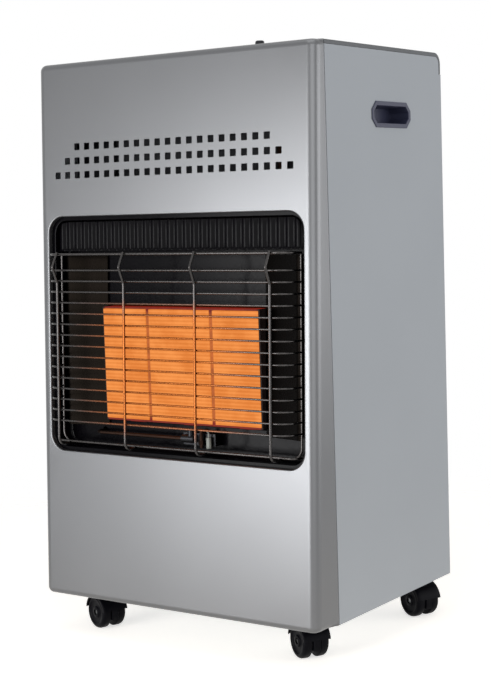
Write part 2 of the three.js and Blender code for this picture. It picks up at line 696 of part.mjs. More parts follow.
// A corrugated sheet across the top of the window.
function burnerHood() {
  const half = WINDOW_WIDTH / 2 - SURROUND_INSET - SURROUND_WALL - 1;
  const ribs = Math.floor((2 * half) / RIB_PITCH);
  const left = (-ribs * RIB_PITCH) / 2;
  const waist = RIB_PITCH / 4;
  const front = [];
  for (let i = 0; i < ribs; i++) {
    const x = left + i * RIB_PITCH;
    front.push([x, HOOD_DEPTH_IN + RIB_DEPTH], [x + waist, HOOD_DEPTH_IN]);
    front.push([x + 2 * waist, HOOD_DEPTH_IN], [x + 3 * waist, HOOD_DEPTH_IN + RIB_DEPTH]);
  }
  front.push([left + ribs * RIB_PITCH, HOOD_DEPTH_IN + RIB_DEPTH]);
  const back = front.map(([x, y]) => [x, y + HOOD_SHEET]).reverse();
  const outline = new THREE.Shape([...front, ...back].map(([x, y]) => new THREE.Vector2(x, y)));
  const body = prism(outline, "z", HOOD_BOTTOM, WINDOW_TOP);
  const lip = block(
    left, -left, HOOD_DEPTH_IN, HOOD_DEPTH_IN + RIB_DEPTH + HOOD_SHEET, HOOD_BOTTOM - 2, HOOD_BOTTOM + 0.5,
  );
  const inset = SURROUND_INSET + SURROUND_WALL + 1;
  const room = roundedRectangle(
    0, WINDOW_Z, WINDOW_WIDTH - 2 * inset, WINDOW_HEIGHT - 2 * inset, WINDOW_RADIUS - inset,
  );
  const hood = join(body, lip).intersect(prism(room, "y", 0, SURROUND_DEPTH));
  return piece("burner_hood", hood, blackEnamel);
}

// A polished plate beside the plaques, from the burner out towards the window's edge.
function reflector(name, side) {
  const x0 = BURNER_HALF + GAP;
  const x1 = Math.min(x0 + REFLECTOR_REACH, WINDOW_WIDTH / 2 - SURROUND_INSET - SURROUND_WALL - 2);
  const [deep, shallow] = [REFLECTOR_DEEP, REFLECTOR_SHALLOW];
  const outline = new THREE.Shape(
    [[x0, deep], [x1, shallow], [x1, shallow + SHEET], [x0, deep + SHEET]].map(([x, y]) => new THREE.Vector2(x, y)),
  );
  let body = prism(outline, "z", PLAQUE_BOTTOM - 10, HOOD_BOTTOM - 8);
  if (side < 0) body = body.mirror([1, 0, 0]);
  return piece(name, body, polishedSteel);
}

// One cross wire: straight in front, and bent back round both ends of the guard.
function crossWire(z, bow, radius, turn) {
  const half = GUARD_HALF_WIDTH;
  const left = bend([-half, -bow, z], turn, [0, -1, 0], [1, 0, 0], 2);
  const right = bend([half, -bow, z], turn, [1, 0, 0], [0, 1, 0], 2);
  return wire([[-half, GUARD_REAR, z], ...left, ...right, [half, GUARD_REAR, z]], radius);
}

// One upright: from the rear loop under the cross wires, up in front of them, and kinked at the top.
function upright(x) {
  const bow = GUARD_UPRIGHT_BOW;
  const foot = GUARD_BOTTOM - GUARD_WIRE - GUARD_UPRIGHT + 1;
  const straightTop = GUARD_BAR_TOP - GUARD_BAR_PITCH - GUARD_UPRIGHT;
  const kinkZ = GUARD_BAR_TOP + GUARD_UPRIGHT * 2;
  const lower = bend([x, -bow, foot], GUARD_KINK, [0, -1, 0], [0, 0, 1]);
  return wire(
    [
      [x, GUARD_REAR, foot], ...lower, [x, -bow, straightTop], [x, -bow - GUARD_KINK, kinkZ],
      [x, -bow, GUARD_TOP + GUARD_UPRIGHT],
    ],
    GUARD_UPRIGHT,
  );
}

// The loop at the back of the guard, inside the surround: across the bottom and up both ends.
function rearLoop() {
  const [half, y, turn] = [GUARD_HALF_WIDTH, GUARD_REAR, 14];
  const low = GUARD_BOTTOM - GUARD_WIRE - GUARD_UPRIGHT + 1;
  const left = bend([-half, y, low], turn, [0, 0, -1], [1, 0, 0]);
  const right = bend([half, y, low], turn, [1, 0, 0], [0, 0, 1]);
  return wire([[-half, y, GUARD_TOP], ...left, ...right, [half, y, GUARD_TOP]], GUARD_WIRE);
}

function wireGuard() {
  const wires = [rearLoop()];
  wires.push(crossWire(GUARD_TOP, GUARD_BOW, GUARD_WIRE + 0.5, GUARD_BEND));
  wires.push(crossWire(GUARD_BOTTOM, GUARD_WIRE, GUARD_WIRE, GUARD_BEND / 2));
  for (let i = 0; i < GUARD_BARS; i++) {
    wires.push(crossWire(GUARD_BAR_TOP - i * GUARD_BAR_PITCH, GUARD_BOW, GUARD_WIRE, GUARD_BEND));
  }
  for (const x of GUARD_UPRIGHT_X) wires.push(upright(x));
  return piece("wire_guard", wasm.Manifold.union(wires), chromedWire);
}

// ---------------------------------------------------------------- burners and plaques

function plaque(name, { x, width }) {
  const half = width / 2;
  const body = block(
    x - half, x + half, PLAQUE_FACE_Y, PLAQUE_FACE_Y + PLAQUE_THICKNESS, PLAQUE_BOTTOM, PLAQUE_TOP,
  );
  return piece(name, body, ceramic);
}

// A pressed housing behind one plaque, with its mixing tube hanging below.
function burner(name, { x, width }) {
  const half = width / 2 + GAP;
  const [w, y0] = [BURNER_WALL, PLAQUE_FACE_Y + 1];
  const shell = block(
    x - half - w, x + half + w, y0, BURNER_BACK, PLAQUE_BOTTOM - GAP - w, PLAQUE_TOP + GAP + w,
  );
  const hollow = block(x - half, x + half, y0 - 1, BURNER_BACK - w, PLAQUE_BOTTOM - GAP, PLAQUE_TOP + GAP);
  const bottom = [x, VENTURI_Y, VENTURI_BOTTOM];
  const top = [x, VENTURI_Y, PLAQUE_BOTTOM - w / 2];
  const tube = rod(VENTURI_RADIUS, bottom, top);
  const bore = rod(
    VENTURI_RADIUS - VENTURI_WALL, [x, VENTURI_Y, VENTURI_BOTTOM - 1], [x, VENTURI_Y, PLAQUE_BOTTOM + 2],
  );
  return piece(name, join(shell, tube).subtract(hollow).subtract(bore), aluminised);
}

// The rail that feeds the three injectors, open at the end that the feed pipe enters.
function gasRail() {
  const reach = PLAQUES.right.x + VENTURI_RADIUS;
  const at = (x) => [x, VENTURI_Y, RAIL_Z];
  const rail = rod(RAIL_RADIUS, at(-reach), at(reach));
  const bore = rod(RAIL_RADIUS - 2, at(-reach + 3), at(reach + 1), 12);
  return piece("gas_rail", rail.subtract(bore), steel);
}

function injector(name, { x }) {
  const base = RAIL_Z + RAIL_RADIUS + GAP;
  const hexagon = rod(INJECTOR_RADIUS, [x, VENTURI_Y, base], [x, VENTURI_Y, base + INJECTOR_LENGTH / 2], 6);
  const nose = rod(INJECTOR_RADIUS * 0.7, [x, VENTURI_Y, base], [x, VENTURI_Y, INJECTOR_TOP]);
  const bore = rod(INJECTOR_BORE, [x, VENTURI_Y, base - 1], [x, VENTURI_Y, INJECTOR_TOP + 1], 8);
  return piece(name, join(hexagon, nose).subtract(bore), brass);
}

// ---------------------------------------------------------------- pilot

function pilotBurner() {
  const y = PILOT_Y;
  const tube = rod(PILOT_RADIUS, [PILOT_X - PILOT_TUBE_LEFT, y, PILOT_Z], [PILOT_X + 6, y, PILOT_Z]);
  const nose = rod(PILOT_RADIUS * 0.7, [PILOT_X, y, PILOT_Z], [PILOT_X, y, PILOT_Z + 11]);
  const [x0, x1] = [PILOT_X - PILOT_BRACKET_LEFT, PILOT_X + PILOT_BRACKET_RIGHT];
  const front = y + PILOT_RADIUS - 1;
  const bracket = block(x0, x1, front, front + 1.6, PILOT_Z - 8, PILOT_Z + 7);
  const foot = block(x0, x1, front, PLAQUE_FACE_Y + 8, PILOT_Z - 8, PILOT_Z - 6.4);
  const bore = rod(PILOT_RADIUS * 0.4, [PILOT_X, y, PILOT_Z + 2], [PILOT_X, y, PILOT_Z + 12], 8);
  return piece("pilot_burner", join(tube, nose, bracket, foot).subtract(bore), steel);
}

function thermocouple() {
  const [x, y] = [PILOT_X + PROBE_OFFSET, PILOT_Y];
  const probe = rod(PROBE_RADIUS, [x, y, PILOT_Z - 10], [x, y, PILOT_Z + 13], 10);
  const collar = rod(PROBE_RADIUS * 1.6, [x, y, PILOT_Z - 6], [x, y, PILOT_Z - 1], 6);
  return piece("thermocouple", join(probe, collar), copper);
}

function sparkElectrode() {
  const [x, y] = [PILOT_X + ELECTRODE_OFFSET, PILOT_Y];
  const insulator = rod(ELECTRODE_RADIUS * 1.8, [x, y, PILOT_Z - 10], [x, y, PILOT_Z + 3], 10);
  const tip = wire(
    [[x, y, PILOT_Z], [x, y, PILOT_Z + 9], [x - 3, y, PILOT_Z + 12]], ELECTRODE_RADIUS * 0.6,
  );
  return piece("spark_electrode", join(insulator, tip), porcelain);
}

// ---------------------------------------------------------------- controls

function controlPanel() {
  const shape = (grow) =>
    roundedRectangle(
      CONTROL_X, CONTROL_Y, CONTROL_WIDTH - 2 * grow, CONTROL_DEPTH - 2 * grow, CONTROL_RADIUS - grow,
    );
  const top = CABINET_HEIGHT + GAP;
  const rim = prism(shape(0), "z", top, top + CONTROL_RIM_HEIGHT);
  const tub = prism(shape(CONTROL_RIM + GAP), "z", CONTROL_FLOOR - CONTROL_WALL, top + 0.5);
  const hollow = prism(shape(CONTROL_RIM + GAP + CONTROL_WALL), "z", CONTROL_FLOOR, top + CONTROL_RIM_HEIGHT + 1);
  const through = (x, radius) =>
    rod(radius, [x, CONTROL_Y, CONTROL_FLOOR - CONTROL_WALL - 1], [x, CONTROL_Y, CONTROL_FLOOR + 1], 24);
  const body = join(rim, tub)
    .subtract(hollow)
    .subtract(through(KNOB_X, SPINDLE_RADIUS + 1))
    .subtract(through(BUTTON_X, BUTTON_RADIUS + BORE_CLEARANCE));
  return piece("control_panel", body, blackPlastic);
}

function controlKnob() {
  const base = CONTROL_FLOOR + KNOB_TRAVEL + 1;
  const top = CABINET_HEIGHT + KNOB_TOP;
  const skirt = rod(KNOB_RADIUS, [0, 0, base], [0, 0, base + KNOB_SKIRT], 32);
  const drum = rod(KNOB_RADIUS * 0.62, [0, 0, base], [0, 0, base + KNOB_SKIRT + 4], 32);
  const grip = prism(
    roundedRectangle(0, 0, KNOB_GRIP_WIDTH, 2 * KNOB_RADIUS - 4, KNOB_GRIP_WIDTH / 2 - 1), "z", base, top,
  );
  const bore = rod(SPINDLE_RADIUS + BORE_CLEARANCE, [0, 0, base - 1], [0, 0, spindleTop() + KNOB_TRAVEL + 1]);
  const knob = piece("control_knob", join(skirt, drum, grip).subtract(bore), blackPlastic);
  knob.position.set(KNOB_X, CONTROL_Y, 0);
  knob.rotation.z = THREE.MathUtils.degToRad(KNOB_REST_TURN);
  return knob;
}

function spindleTop() {
  return CABINET_HEIGHT - 2;
}

function valveSpindle() {
  const shaft = rod(SPINDLE_RADIUS, [KNOB_X, CONTROL_Y, VALVE_TOP - 5], [KNOB_X, CONTROL_Y, spindleTop()]);
  const flat = block(
    KNOB_X + SPINDLE_RADIUS * 0.6, KNOB_X + SPINDLE_RADIUS * 2, CONTROL_Y - 6, CONTROL_Y + 6,
    CONTROL_FLOOR, spindleTop() + 1,
  );
  return piece("valve_spindle", shaft.subtract(flat), steel);
}

function igniterButton() {
  const top = CABINET_HEIGHT + BUTTON_TOP;
  const base = CONTROL_FLOOR - CONTROL_WALL;
  const at = (z) => [BUTTON_X, CONTROL_Y, z];
  const cap = rod(BUTTON_RADIUS, at(base), at(top - 1.5), 24);
  const crown = rod(BUTTON_RADIUS - 1.5, at(base), at(top), 24);
  return piece("igniter_button", join(cap, crown), blackPlastic);
}

// The spark generator under the button, which goes down inside its mouth.
function piezoIgniter() {
  const top = CONTROL_FLOOR - CONTROL_WALL - GAP;
  const at = (z) => [BUTTON_X, CONTROL_Y, z];
  const barrel = rod(IGNITER_RADIUS, at(top - IGNITER_LENGTH), at(top), 20);
  const collar = rod(IGNITER_RADIUS + 4, at(top - 3), at(top), 6);
  const mouth = rod(BUTTON_RADIUS + BORE_CLEARANCE, at(top - BUTTON_TRAVEL - 1), at(top + 1), 24);
  return piece("piezo_igniter", join(barrel, collar).subtract(mouth), blackPlastic);
}

function hoseTailZ() {
  return VALVE_BOTTOM + VALVE_HEIGHT / 2;
}

function gasValve() {
  const [w, d] = [VALVE_WIDTH / 2, VALVE_DEPTH / 2];
  const body = block(KNOB_X - w, KNOB_X + w, CONTROL_Y - d, CONTROL_Y + d, VALVE_BOTTOM, VALVE_TOP - 6);
  const neckTop = CONTROL_FLOOR - CONTROL_WALL - GAP;
  const neck = rod(SPINDLE_RADIUS * 2.5, [KNOB_X, CONTROL_Y, VALVE_TOP - 8], [KNOB_X, CONTROL_Y, neckTop], 20);
  const bore = rod(
    SPINDLE_RADIUS + BORE_CLEARANCE, [KNOB_X, CONTROL_Y, VALVE_TOP - 5.5], [KNOB_X, CONTROL_Y, neckTop + 1],
  );
  const magnet = rod(9, [KNOB_X - w - 16, CONTROL_Y, hoseTailZ()], [KNOB_X - w + 1, CONTROL_Y, hoseTailZ()], 16);
  return piece("gas_valve", join(body, neck, magnet).subtract(bore), aluminised);
}

// The ribbed inlet that a gas hose is pushed on.
function hoseTail() {
  const z = hoseTailZ();
  const start = CONTROL_Y + VALVE_DEPTH / 2 + GAP;
  const end = start + HOSE_TAIL_LENGTH;
  const at = (y) => [KNOB_X, y, z];
  const nut = rod(HOSE_TAIL_RADIUS + 3, at(start), at(start + 8), 6);
  const stem = rod(HOSE_TAIL_RADIUS - 1, at(start), at(end));
  const barbs = [0.45, 0.62, 0.79].map((share) => {
    const y = start + HOSE_TAIL_LENGTH * share;
    return rod(HOSE_TAIL_RADIUS, at(y), at(y + 3));
  });
  const bore = rod(HOSE_TAIL_BORE, at(start - 1), at(end + 1), 10);
  return piece("hose_tail", join(nut, stem, ...barbs).subtract(bore), brass);
}

// The pipe from the valve down to the open end of the gas rail.
function feedPipe() {
  const x = PLAQUES.right.x + VENTURI_RADIUS + 34;
  const start = [KNOB_X, CONTROL_Y - VALVE_DEPTH / 2 - GAP, hoseTailZ()];
  const drop = PARTITION_Y - 9;
  const points = [
    start,
    ...bend([KNOB_X, drop, start[2]], 7, [0, -1, 0], [0, 0, -1]),
    ...bend([KNOB_X, drop, start[2] - 30], 8, [0, 0, -1], [1, 0, 0]),
    ...bend([x, drop, start[2] - 30], 10, [1, 0, 0], [0, 0, -1]),
    ...bend([x, drop, RAIL_Z], 10, [0, 0, -1], [0, -1, 0]),
    ...bend([x, VENTURI_Y, RAIL_Z], 6, [0, -1, 0], [-1, 0, 0]),
    [PLAQUES.right.x + VENTURI_RADIUS + GAP, VENTURI_Y, RAIL_Z],
  ];
  return piece("feed_pipe", wire(points, PIPE_RADIUS, 8), copper);
}

// The thin pipe from the valve, down beside the burners and forward through the surround to the pilot.
function pilotPipe() {
  const startX = KNOB_X - VALVE_WIDTH / 4;
  const start = [startX, CONTROL_Y - VALVE_DEPTH / 2 - GAP, VALVE_BOTTOM + 8];
  const drop = PARTITION_Y - 5;
  const points = [
    start,
    ...bend([startX, drop, start[2]], 3, [0, -1, 0], [0, 0, -1], 2),
    ...bend([startX, drop, start[2] - 20], 6, [0, 0, -1], [-1, 0, 0], 2),
    ...bend([PILOT_PIPE_X, drop, start[2] - 20], 8, [-1, 0, 0], [0, 0, -1], 2),
    ...bend([PILOT_PIPE_X, drop, PILOT_Z], 8, [0, 0, -1], [0, -1, 0], 2),
    ...bend([PILOT_PIPE_X, PILOT_Y, PILOT_Z], 8, [0, -1, 0], [1, 0, 0], 2),
    [PILOT_X - PILOT_TUBE_LEFT - GAP, PILOT_Y, PILOT_Z],
  ];
  return piece("pilot_pipe", wire(points, PILOT_PIPE_RADIUS, 6), copper);
}

// ---------------------------------------------------------------- casters

function casterWheel(name, side) {
  const inner = CASTER_WEB / 2 + 1;
  const outer = inner + WHEEL_WIDTH;
  const [r, s, bore] = [WHEEL_RADIUS, WHEEL_SHOULDER, AXLE_RADIUS + BORE_CLEARANCE];
  const profile = [
    [bore, inner], [r, inner], [r, outer - s], [r - s * 0.35, outer - s * 0.25],
    [r - s, outer], [bore, outer], [bore, inner],
  ];
  const lathe = new THREE.LatheGeometry(profile.map(([x, y]) => new THREE.Vector2(x, y)), 24);
  const wheel = piece(name, solid(side > 0 ? lathe : lathe.rotateX(Math.PI)), tyreNylon);
  wheel.position.set(CASTER_TRAIL, 0, WHEEL_RADIUS - FLOOR_CLEARANCE);
  return wheel;
}

// The swivelling body: a web between the wheels, a hood over them, and the boss that turns on the pin.
function casterBody(name) {
  const axleZ = WHEEL_RADIUS - FLOOR_CLEARANCE;
  const inner = WHEEL_RADIUS + HOOD_CLEARANCE;
  const outer = inner + HOOD_SHELL;
  const half = CASTER_WEB / 2 + WHEEL_WIDTH + HOOD_SIDE_CLEARANCE;
  const far = CASTER_TRAIL + 3 * WHEEL_RADIUS;
  const along = (radius, reach, segments) =>
    rod(radius, [CASTER_TRAIL, -reach, axleZ], [CASTER_TRAIL, reach, axleZ], segments);
  const below = block(-far, far, -far, far, axleZ - far, axleZ + HOOD_HEM);
  const bossTop = TRAY_Z - CASTER_PLATE - 2 * GAP;
  const collar = rod(CASTER_COLLAR, [0, 0, axleZ + HOOD_HEM], [0, 0, bossTop], 20);
  const hood = join(along(outer, half, 28), collar).subtract(along(inner, half + 1, 28)).subtract(below);
  const webCut = block(-far, far, -far, far, axleZ - far, axleZ - WEB_DROP);
  const web = along(inner + 1, CASTER_WEB / 2, 28).subtract(webCut);
  const pinBore = rod(PIN_RADIUS + BORE_CLEARANCE, [0, 0, axleZ - 1], [0, 0, bossTop + 1], 16);
  const axleBore = along(AXLE_RADIUS + BORE_CLEARANCE, half, 16);
  return piece(name, join(hood, web).subtract(pinBore).subtract(axleBore), blackPlastic);
}

function casterPlate(name) {
  const top = TRAY_Z - GAP;
  const plate = rod(CASTER_PLATE_RADIUS, [0, 0, top - CASTER_PLATE], [0, 0, top], 24);
  const pin = rod(PIN_RADIUS, [0, 0, WHEEL_RADIUS - FLOOR_CLEARANCE + 1], [0, 0, top], 16);
  return piece(name, join(plate, pin), steel);
}

function casterAxle(name) {
  const reach = CASTER_WEB / 2 + WHEEL_WIDTH - 1;
  const z = WHEEL_RADIUS - FLOOR_CLEARANCE;
  const body = rod(AXLE_RADIUS, [CASTER_TRAIL, -reach, z], [CASTER_TRAIL, reach, z]);
  return piece(name, body, steel);
}

function caster(place, x, y) {
  const name = (part) => `caster_${place}_${part}`;
  const group = new THREE.Group();
  group.add(casterPlate(name("plate")), casterBody(name("body")), casterAxle(name("axle")));
  group.add(casterWheel(name("wheel_a"), 1), casterWheel(name("wheel_b"), -1));
  group.position.set(x, y, 0);
  group.rotation.z = THREE.MathUtils.degToRad(CASTER_TURNS[place]);
  return group;
}

// ---------------------------------------------------------------- assembly

const leaning = new THREE.Group();
leaning.rotation.x = -LEAN_ANGLE;
leaning.add(
  burnerSurround(),
  burnerHood(),
  reflector("reflector_left", -1),
  reflector("reflector_right", 1),
  wireGuard(),
);

const cabinet = new THREE.Group();
cabinet.add(
  frontPanel(),
  sidePanel("side_panel_left", -1),
  sidePanel("side_panel_right", 1),
  handleCup("handle_left", -1),
  handleCup("handle_right", 1),
  topLid(),
  baseTray(),
  partition(),
  rearRail(),
  rearCover(),
  cylinderRetainer(),
  leaning,
);
for (const [place, size] of Object.entries(PLAQUES)) {
  cabinet.add(
    plaque(`plaque_${place}`, size),
    burner(`burner_${place}`, size),
    injector(`injector_${place}`, size),
  );
}
cabinet.add(gasRail(), pilotBurner(), thermocouple(), sparkElectrode());
cabinet.add(controlPanel(), controlKnob(), valveSpindle(), igniterButton(), piezoIgniter());
cabinet.add(gasValve(), hoseTail(), feedPipe(), pilotPipe());
cabinet.add(
  caster("front_left", -CASTER_X, CASTER_FRONT_INSET),
  caster("front_right", CASTER_X, CASTER_FRONT_INSET),
  caster("rear_right", CASTER_X, CASTER_REAR_Y),
  caster("rear_left", -CASTER_X, CASTER_REAR_Y),
);

const heater = new THREE.Group();
heater.add(cabinet);
const box = new THREE.Box3().setFromObject(heater, true);
cabinet.position.set(-(box.min.x + box.max.x) / 2, -(box.min.y + box.max.y) / 2, -box.min.z);

export default heater;
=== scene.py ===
# %% [markdown]
# A portable gas cabinet heater, dressed around its CAD model.
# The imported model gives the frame: every solid sits where it belongs, and each body moves on its joint.
# Here the solids that show get finer surfaces and real finishes. The gas parts inside keep their CAD
# shape and only get a better material, because nobody sees more of them than a glimpse.

# %% Load the frame
import math
import bmesh
import bpy
import numpy as np
from mathutils import Matrix, Vector
from mathutils.geometry import delaunay_2d_cdt


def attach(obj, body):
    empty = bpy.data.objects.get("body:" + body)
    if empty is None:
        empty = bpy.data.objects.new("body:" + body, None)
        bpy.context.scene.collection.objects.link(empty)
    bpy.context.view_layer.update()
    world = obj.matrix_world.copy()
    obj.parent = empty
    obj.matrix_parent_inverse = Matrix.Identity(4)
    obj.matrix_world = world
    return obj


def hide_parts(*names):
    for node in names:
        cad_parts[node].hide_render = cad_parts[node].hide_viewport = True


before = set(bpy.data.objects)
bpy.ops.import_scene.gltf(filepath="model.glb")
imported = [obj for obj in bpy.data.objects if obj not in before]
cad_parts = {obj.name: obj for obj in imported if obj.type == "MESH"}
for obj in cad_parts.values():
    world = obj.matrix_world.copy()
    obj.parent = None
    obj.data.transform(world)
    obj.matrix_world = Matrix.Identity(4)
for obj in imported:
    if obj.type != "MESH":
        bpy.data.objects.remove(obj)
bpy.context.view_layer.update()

# %% [markdown]
# All sizes below are in millimetres from the lower front edge of the cabinet, as in the CAD model, and
# one function moves them into Blender's metres. The front panel leans back by 30 mm over its height,
# so what lies in the plane of the window is worked out upright and then tipped with the panel.

# %% Sizes and places
MM = 0.001
ORIGIN = np.array([0.0, -159.3675, 51.0])  # the lower front edge in the frame, in mm
HALF, HEIGHT, DEPTH = 210.0, 682.0, 333.0  # half the cabinet's width, its height and its depth
SHEET, GAP = 1.2, 0.4  # sheet thickness, and the gap left where two pieces meet
LEAN_BACK = 30.0
LEAN = math.atan2(LEAN_BACK, HEIGHT)
RETURN_END = 49.1  # how far back the front panel's side returns reach
WINDOW = dict(width=388.0, height=299.5, z=339.25, radius=22.0)
BURNER_MIDDLE = 302.0  # height of the middle of the plaques up the front
PLAQUE_FACE = 33.0  # how far the plaques' faces lie behind the front


def tipped(points):
    """Each point turned about the cabinet's lower front edge by the lean of the front: the new depth is
    y cos + z sin, and the new height is z cos - y sin."""
    x, y, z = np.moveaxis(np.asarray(points, float), -1, 0)
    back = y * math.cos(LEAN) + z * math.sin(LEAN)
    return np.stack([x, back, z * math.cos(LEAN) - y * math.sin(LEAN)], -1)


def at_place(points, turn, x, y):
    """Each point turned about the upright axis by some degrees, with the usual cosine and sine mix of
    its x and y, then carried to x, y."""
    c, s = math.cos(math.radians(turn)), math.sin(math.radians(turn))
    px, py, pz = np.moveaxis(np.asarray(points, float), -1, 0)
    return np.stack([px * c - py * s + x, px * s + py * c + y, pz], -1)


print("lean of the front:", round(math.degrees(LEAN), 2), "degrees")

# %% [markdown]
# A surface is a grid of points: row after row of a function of two parameters. The faces of such a grid
# follow from its counts alone, so they are worked out as whole arrays. Sheets get their thickness from
# a Solidify modifier, and a small Bevel breaks the cut edges, because no real edge is perfectly sharp
# and it is the narrow rounding that catches the light.

# %% Grids and meshes
WELD, SPECK = 1e-6, 1e-7  # metres within which points are one, and edges count as nothing
BEVEL_FROM = 50.0  # degrees between faces from which an edge gets its bevel
FACE_WEIGHT = 80  # how strongly large faces keep their normals flat


def grid_faces(rows, columns, around=False, skip=None):
    """Quads between neighbouring rows and columns; around joins the last column to the first."""
    i, j = np.meshgrid(np.arange(rows - 1), np.arange(columns if around else columns - 1), indexing="ij")
    k = (j + 1) % columns
    quads = np.stack([i * columns + j, i * columns + k, (i + 1) * columns + k, (i + 1) * columns + j], -1)
    return quads.reshape(-1, 4) if skip is None else quads[~skip]


def joined(parts):
    """Point lists and face lists put one after the other, each part's faces counted on."""
    points, faces, start = [], [], 0
    for p, f in parts:
        p = np.asarray(p, float).reshape(-1, 3)
        points.append(p)
        faces += [tuple(int(v) + start for v in face) for face in f]
        start += len(p)
    return np.concatenate(points), faces


def make_piece(name, parts, material, body, replaces=(), outside=None,
               thickness=0.0, bevel=0.0, smooth=35.0):
    """One object from (points in mm, faces) parts, welded, faces outwards, riding on a body.
    On an open sheet, outside is the direction that most of its faces look along."""
    points, faces = joined(parts)
    mesh = bpy.data.meshes.new(name)
    mesh.from_pydata(((points + ORIGIN) * MM).tolist(), [], faces)
    mesh.validate()
    work = bmesh.new()
    work.from_mesh(mesh)
    bmesh.ops.remove_doubles(work, verts=work.verts, dist=WELD)
    bmesh.ops.dissolve_degenerate(work, edges=work.edges, dist=SPECK)
    bmesh.ops.recalc_face_normals(work, faces=work.faces)
    if outside is not None:
        side = sum(f.normal.dot(Vector(outside)) * f.calc_area() for f in work.faces)
        if side < 0:
            bmesh.ops.reverse_faces(work, faces=work.faces)
    work.to_mesh(mesh)
    work.free()
    mesh.polygons.foreach_set("use_smooth", np.ones(len(mesh.polygons), bool))
    mesh.set_sharp_from_angle(angle=math.radians(smooth))
    piece = bpy.data.objects.new(name, mesh)
    bpy.context.scene.collection.objects.link(piece)
    mesh.materials.append(material)
    if thickness:
        wall = piece.modifiers.new("wall", "SOLIDIFY")
        wall.thickness, wall.offset = thickness * MM, -1.0
    if bevel:
        edge = piece.modifiers.new("edge", "BEVEL")
        edge.width, edge.segments, edge.limit_method = bevel * MM, 2, "ANGLE"
        edge.angle_limit = math.radians(BEVEL_FROM)
    if thickness or bevel:
        flat = piece.modifiers.new("flat", "WEIGHTED_NORMAL")
        flat.mode, flat.weight, flat.keep_sharp = "FACE_AREA", FACE_WEIGHT, True
    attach(piece, body)
    if replaces:
        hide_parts(*replaces)
    print(name + ":", len(mesh.vertices), "points")
    return piece


# %% [markdown]
# Outlines come next: a rounded rectangle and its smaller copies, walked anticlockwise with the same
# number of points, so that rings of different inset can be joined into a wall, a rim or a tray.
# A flat sheet with holes is cut into triangles by Blender's own constrained triangulation.

# %% Outlines, rings and sheets
CUT_TOLERANCE = 1e-5  # mm within which the triangulation takes two points as one


def rounded_outline(width, height, radius, steps=8, centre=(0.0, 0.0)):
    """Four quarter circles, anticlockwise from the lower right, with straight sides between them."""
    turn = np.linspace(0, math.pi / 2, steps + 1)
    start = np.array([-0.5, 0.0, 0.5, 1.0]) * math.pi
    corner = np.array([[1, -1], [1, 1], [-1, 1], [-1, -1]]) * [width / 2 - radius, height / 2 - radius]
    angle = start[:, None] + turn
    points = corner[:, None, :] + radius * np.stack([np.cos(angle), np.sin(angle)], -1)
    return points.reshape(-1, 2) + centre


def octagon(width, height, chamfer, centre=(0.0, 0.0)):
    """A rectangle whose four corners are cut by a chamfer, so that it has eight, anticlockwise."""
    w, h, c = width / 2, height / 2, chamfer
    points = [(-w + c, -h), (w - c, -h), (w, -h + c), (w, h - c),
              (w - c, h), (-w + c, h), (-w, h - c), (-w, -h + c)]
    return np.array(points) + centre


def level(outline, height):
    """A flat outline of x and y at a height."""
    return np.column_stack([outline, np.full(len(outline), height)])


def upright(outline, depth):
    """A flat outline of x and height, stood up at a depth behind the cabinet's front edge."""
    return np.column_stack([outline[:, 0], np.full(len(outline), depth), outline[:, 1]])


def border(grid):
    """The points round the rim of a grid, one after the other: its four edges, each without its end."""
    return np.concatenate([grid[0, :-1], grid[:-1, -1], grid[-1, :0:-1], grid[:0:-1, 0]])


def rings(loops, cap_first=False, cap_last=False):
    """A skin over closed loops that all have the same number of points: quads from each loop to the
    next, and one face over the first or last loop where it is capped."""
    loops = np.asarray(loops, float)
    rows, columns = loops.shape[:2]
    faces = [tuple(q) for q in grid_faces(rows, columns, around=True)]
    if cap_first:
        faces.append(tuple(range(columns))[::-1])
    if cap_last:
        faces.append(tuple(range((rows - 1) * columns, rows * columns)))
    return loops.reshape(-1, 3), faces


def inside(points, loop):
    """Even-odd rule: a point is inside if a ray to its right crosses the loop an odd number of times."""
    (px, py), (ax, ay) = points.T[:, :, None], loop.T[:, None, :]
    bx, by = np.roll(loop, -1, axis=0).T[:, None, :]
    rises = (ay > py) != (by > py)
    with np.errstate(divide="ignore", invalid="ignore"):
        cross = px < (bx - ax) * (py - ay) / (by - ay) + ax
    return (rises & cross).sum(1) % 2 == 1


def sheet(outline, holes, lift):
    """Triangles that fill the outline but not its holes, lifted from their plane into space. A triangle
    is kept if its middle is inside the outline and outside every hole."""
    loops = [np.asarray(outline, float)] + [np.asarray(h, float) for h in holes]
    flat = np.concatenate(loops)
    edges = []
    for loop, end in zip(loops, np.cumsum([len(loop) for loop in loops])):
        here = np.arange(end - len(loop), end)
        edges += np.stack([here, np.roll(here, -1)], -1).tolist()
    made = delaunay_2d_cdt([Vector(p) for p in flat], edges, [], 0, CUT_TOLERANCE)
    points = np.array([tuple(v) for v in made[0]])
    faces = np.array([f for f in made[2]])
    middle = points[faces].mean(1)
    keep = inside(middle, loops[0])
    for hole in loops[1:]:
        keep &= ~inside(middle, hole)
    return lift(points), faces[keep].tolist()


def turned(profile, sides=48, ripple=None):
    """A profile of (radius, height) turned about the upright axis; ripple waves the radius."""
    r, z = np.asarray(profile, float).T
    angle = np.linspace(0, 2 * math.pi, sides, endpoint=False)
    radius = r[:, None] * (np.ones_like(angle) if ripple is None else ripple(r[:, None], angle))
    loops = np.stack([radius * np.cos(angle), radius * np.sin(angle),
                      np.broadcast_to(z[:, None], radius.shape)], -1)
    return rings(loops)


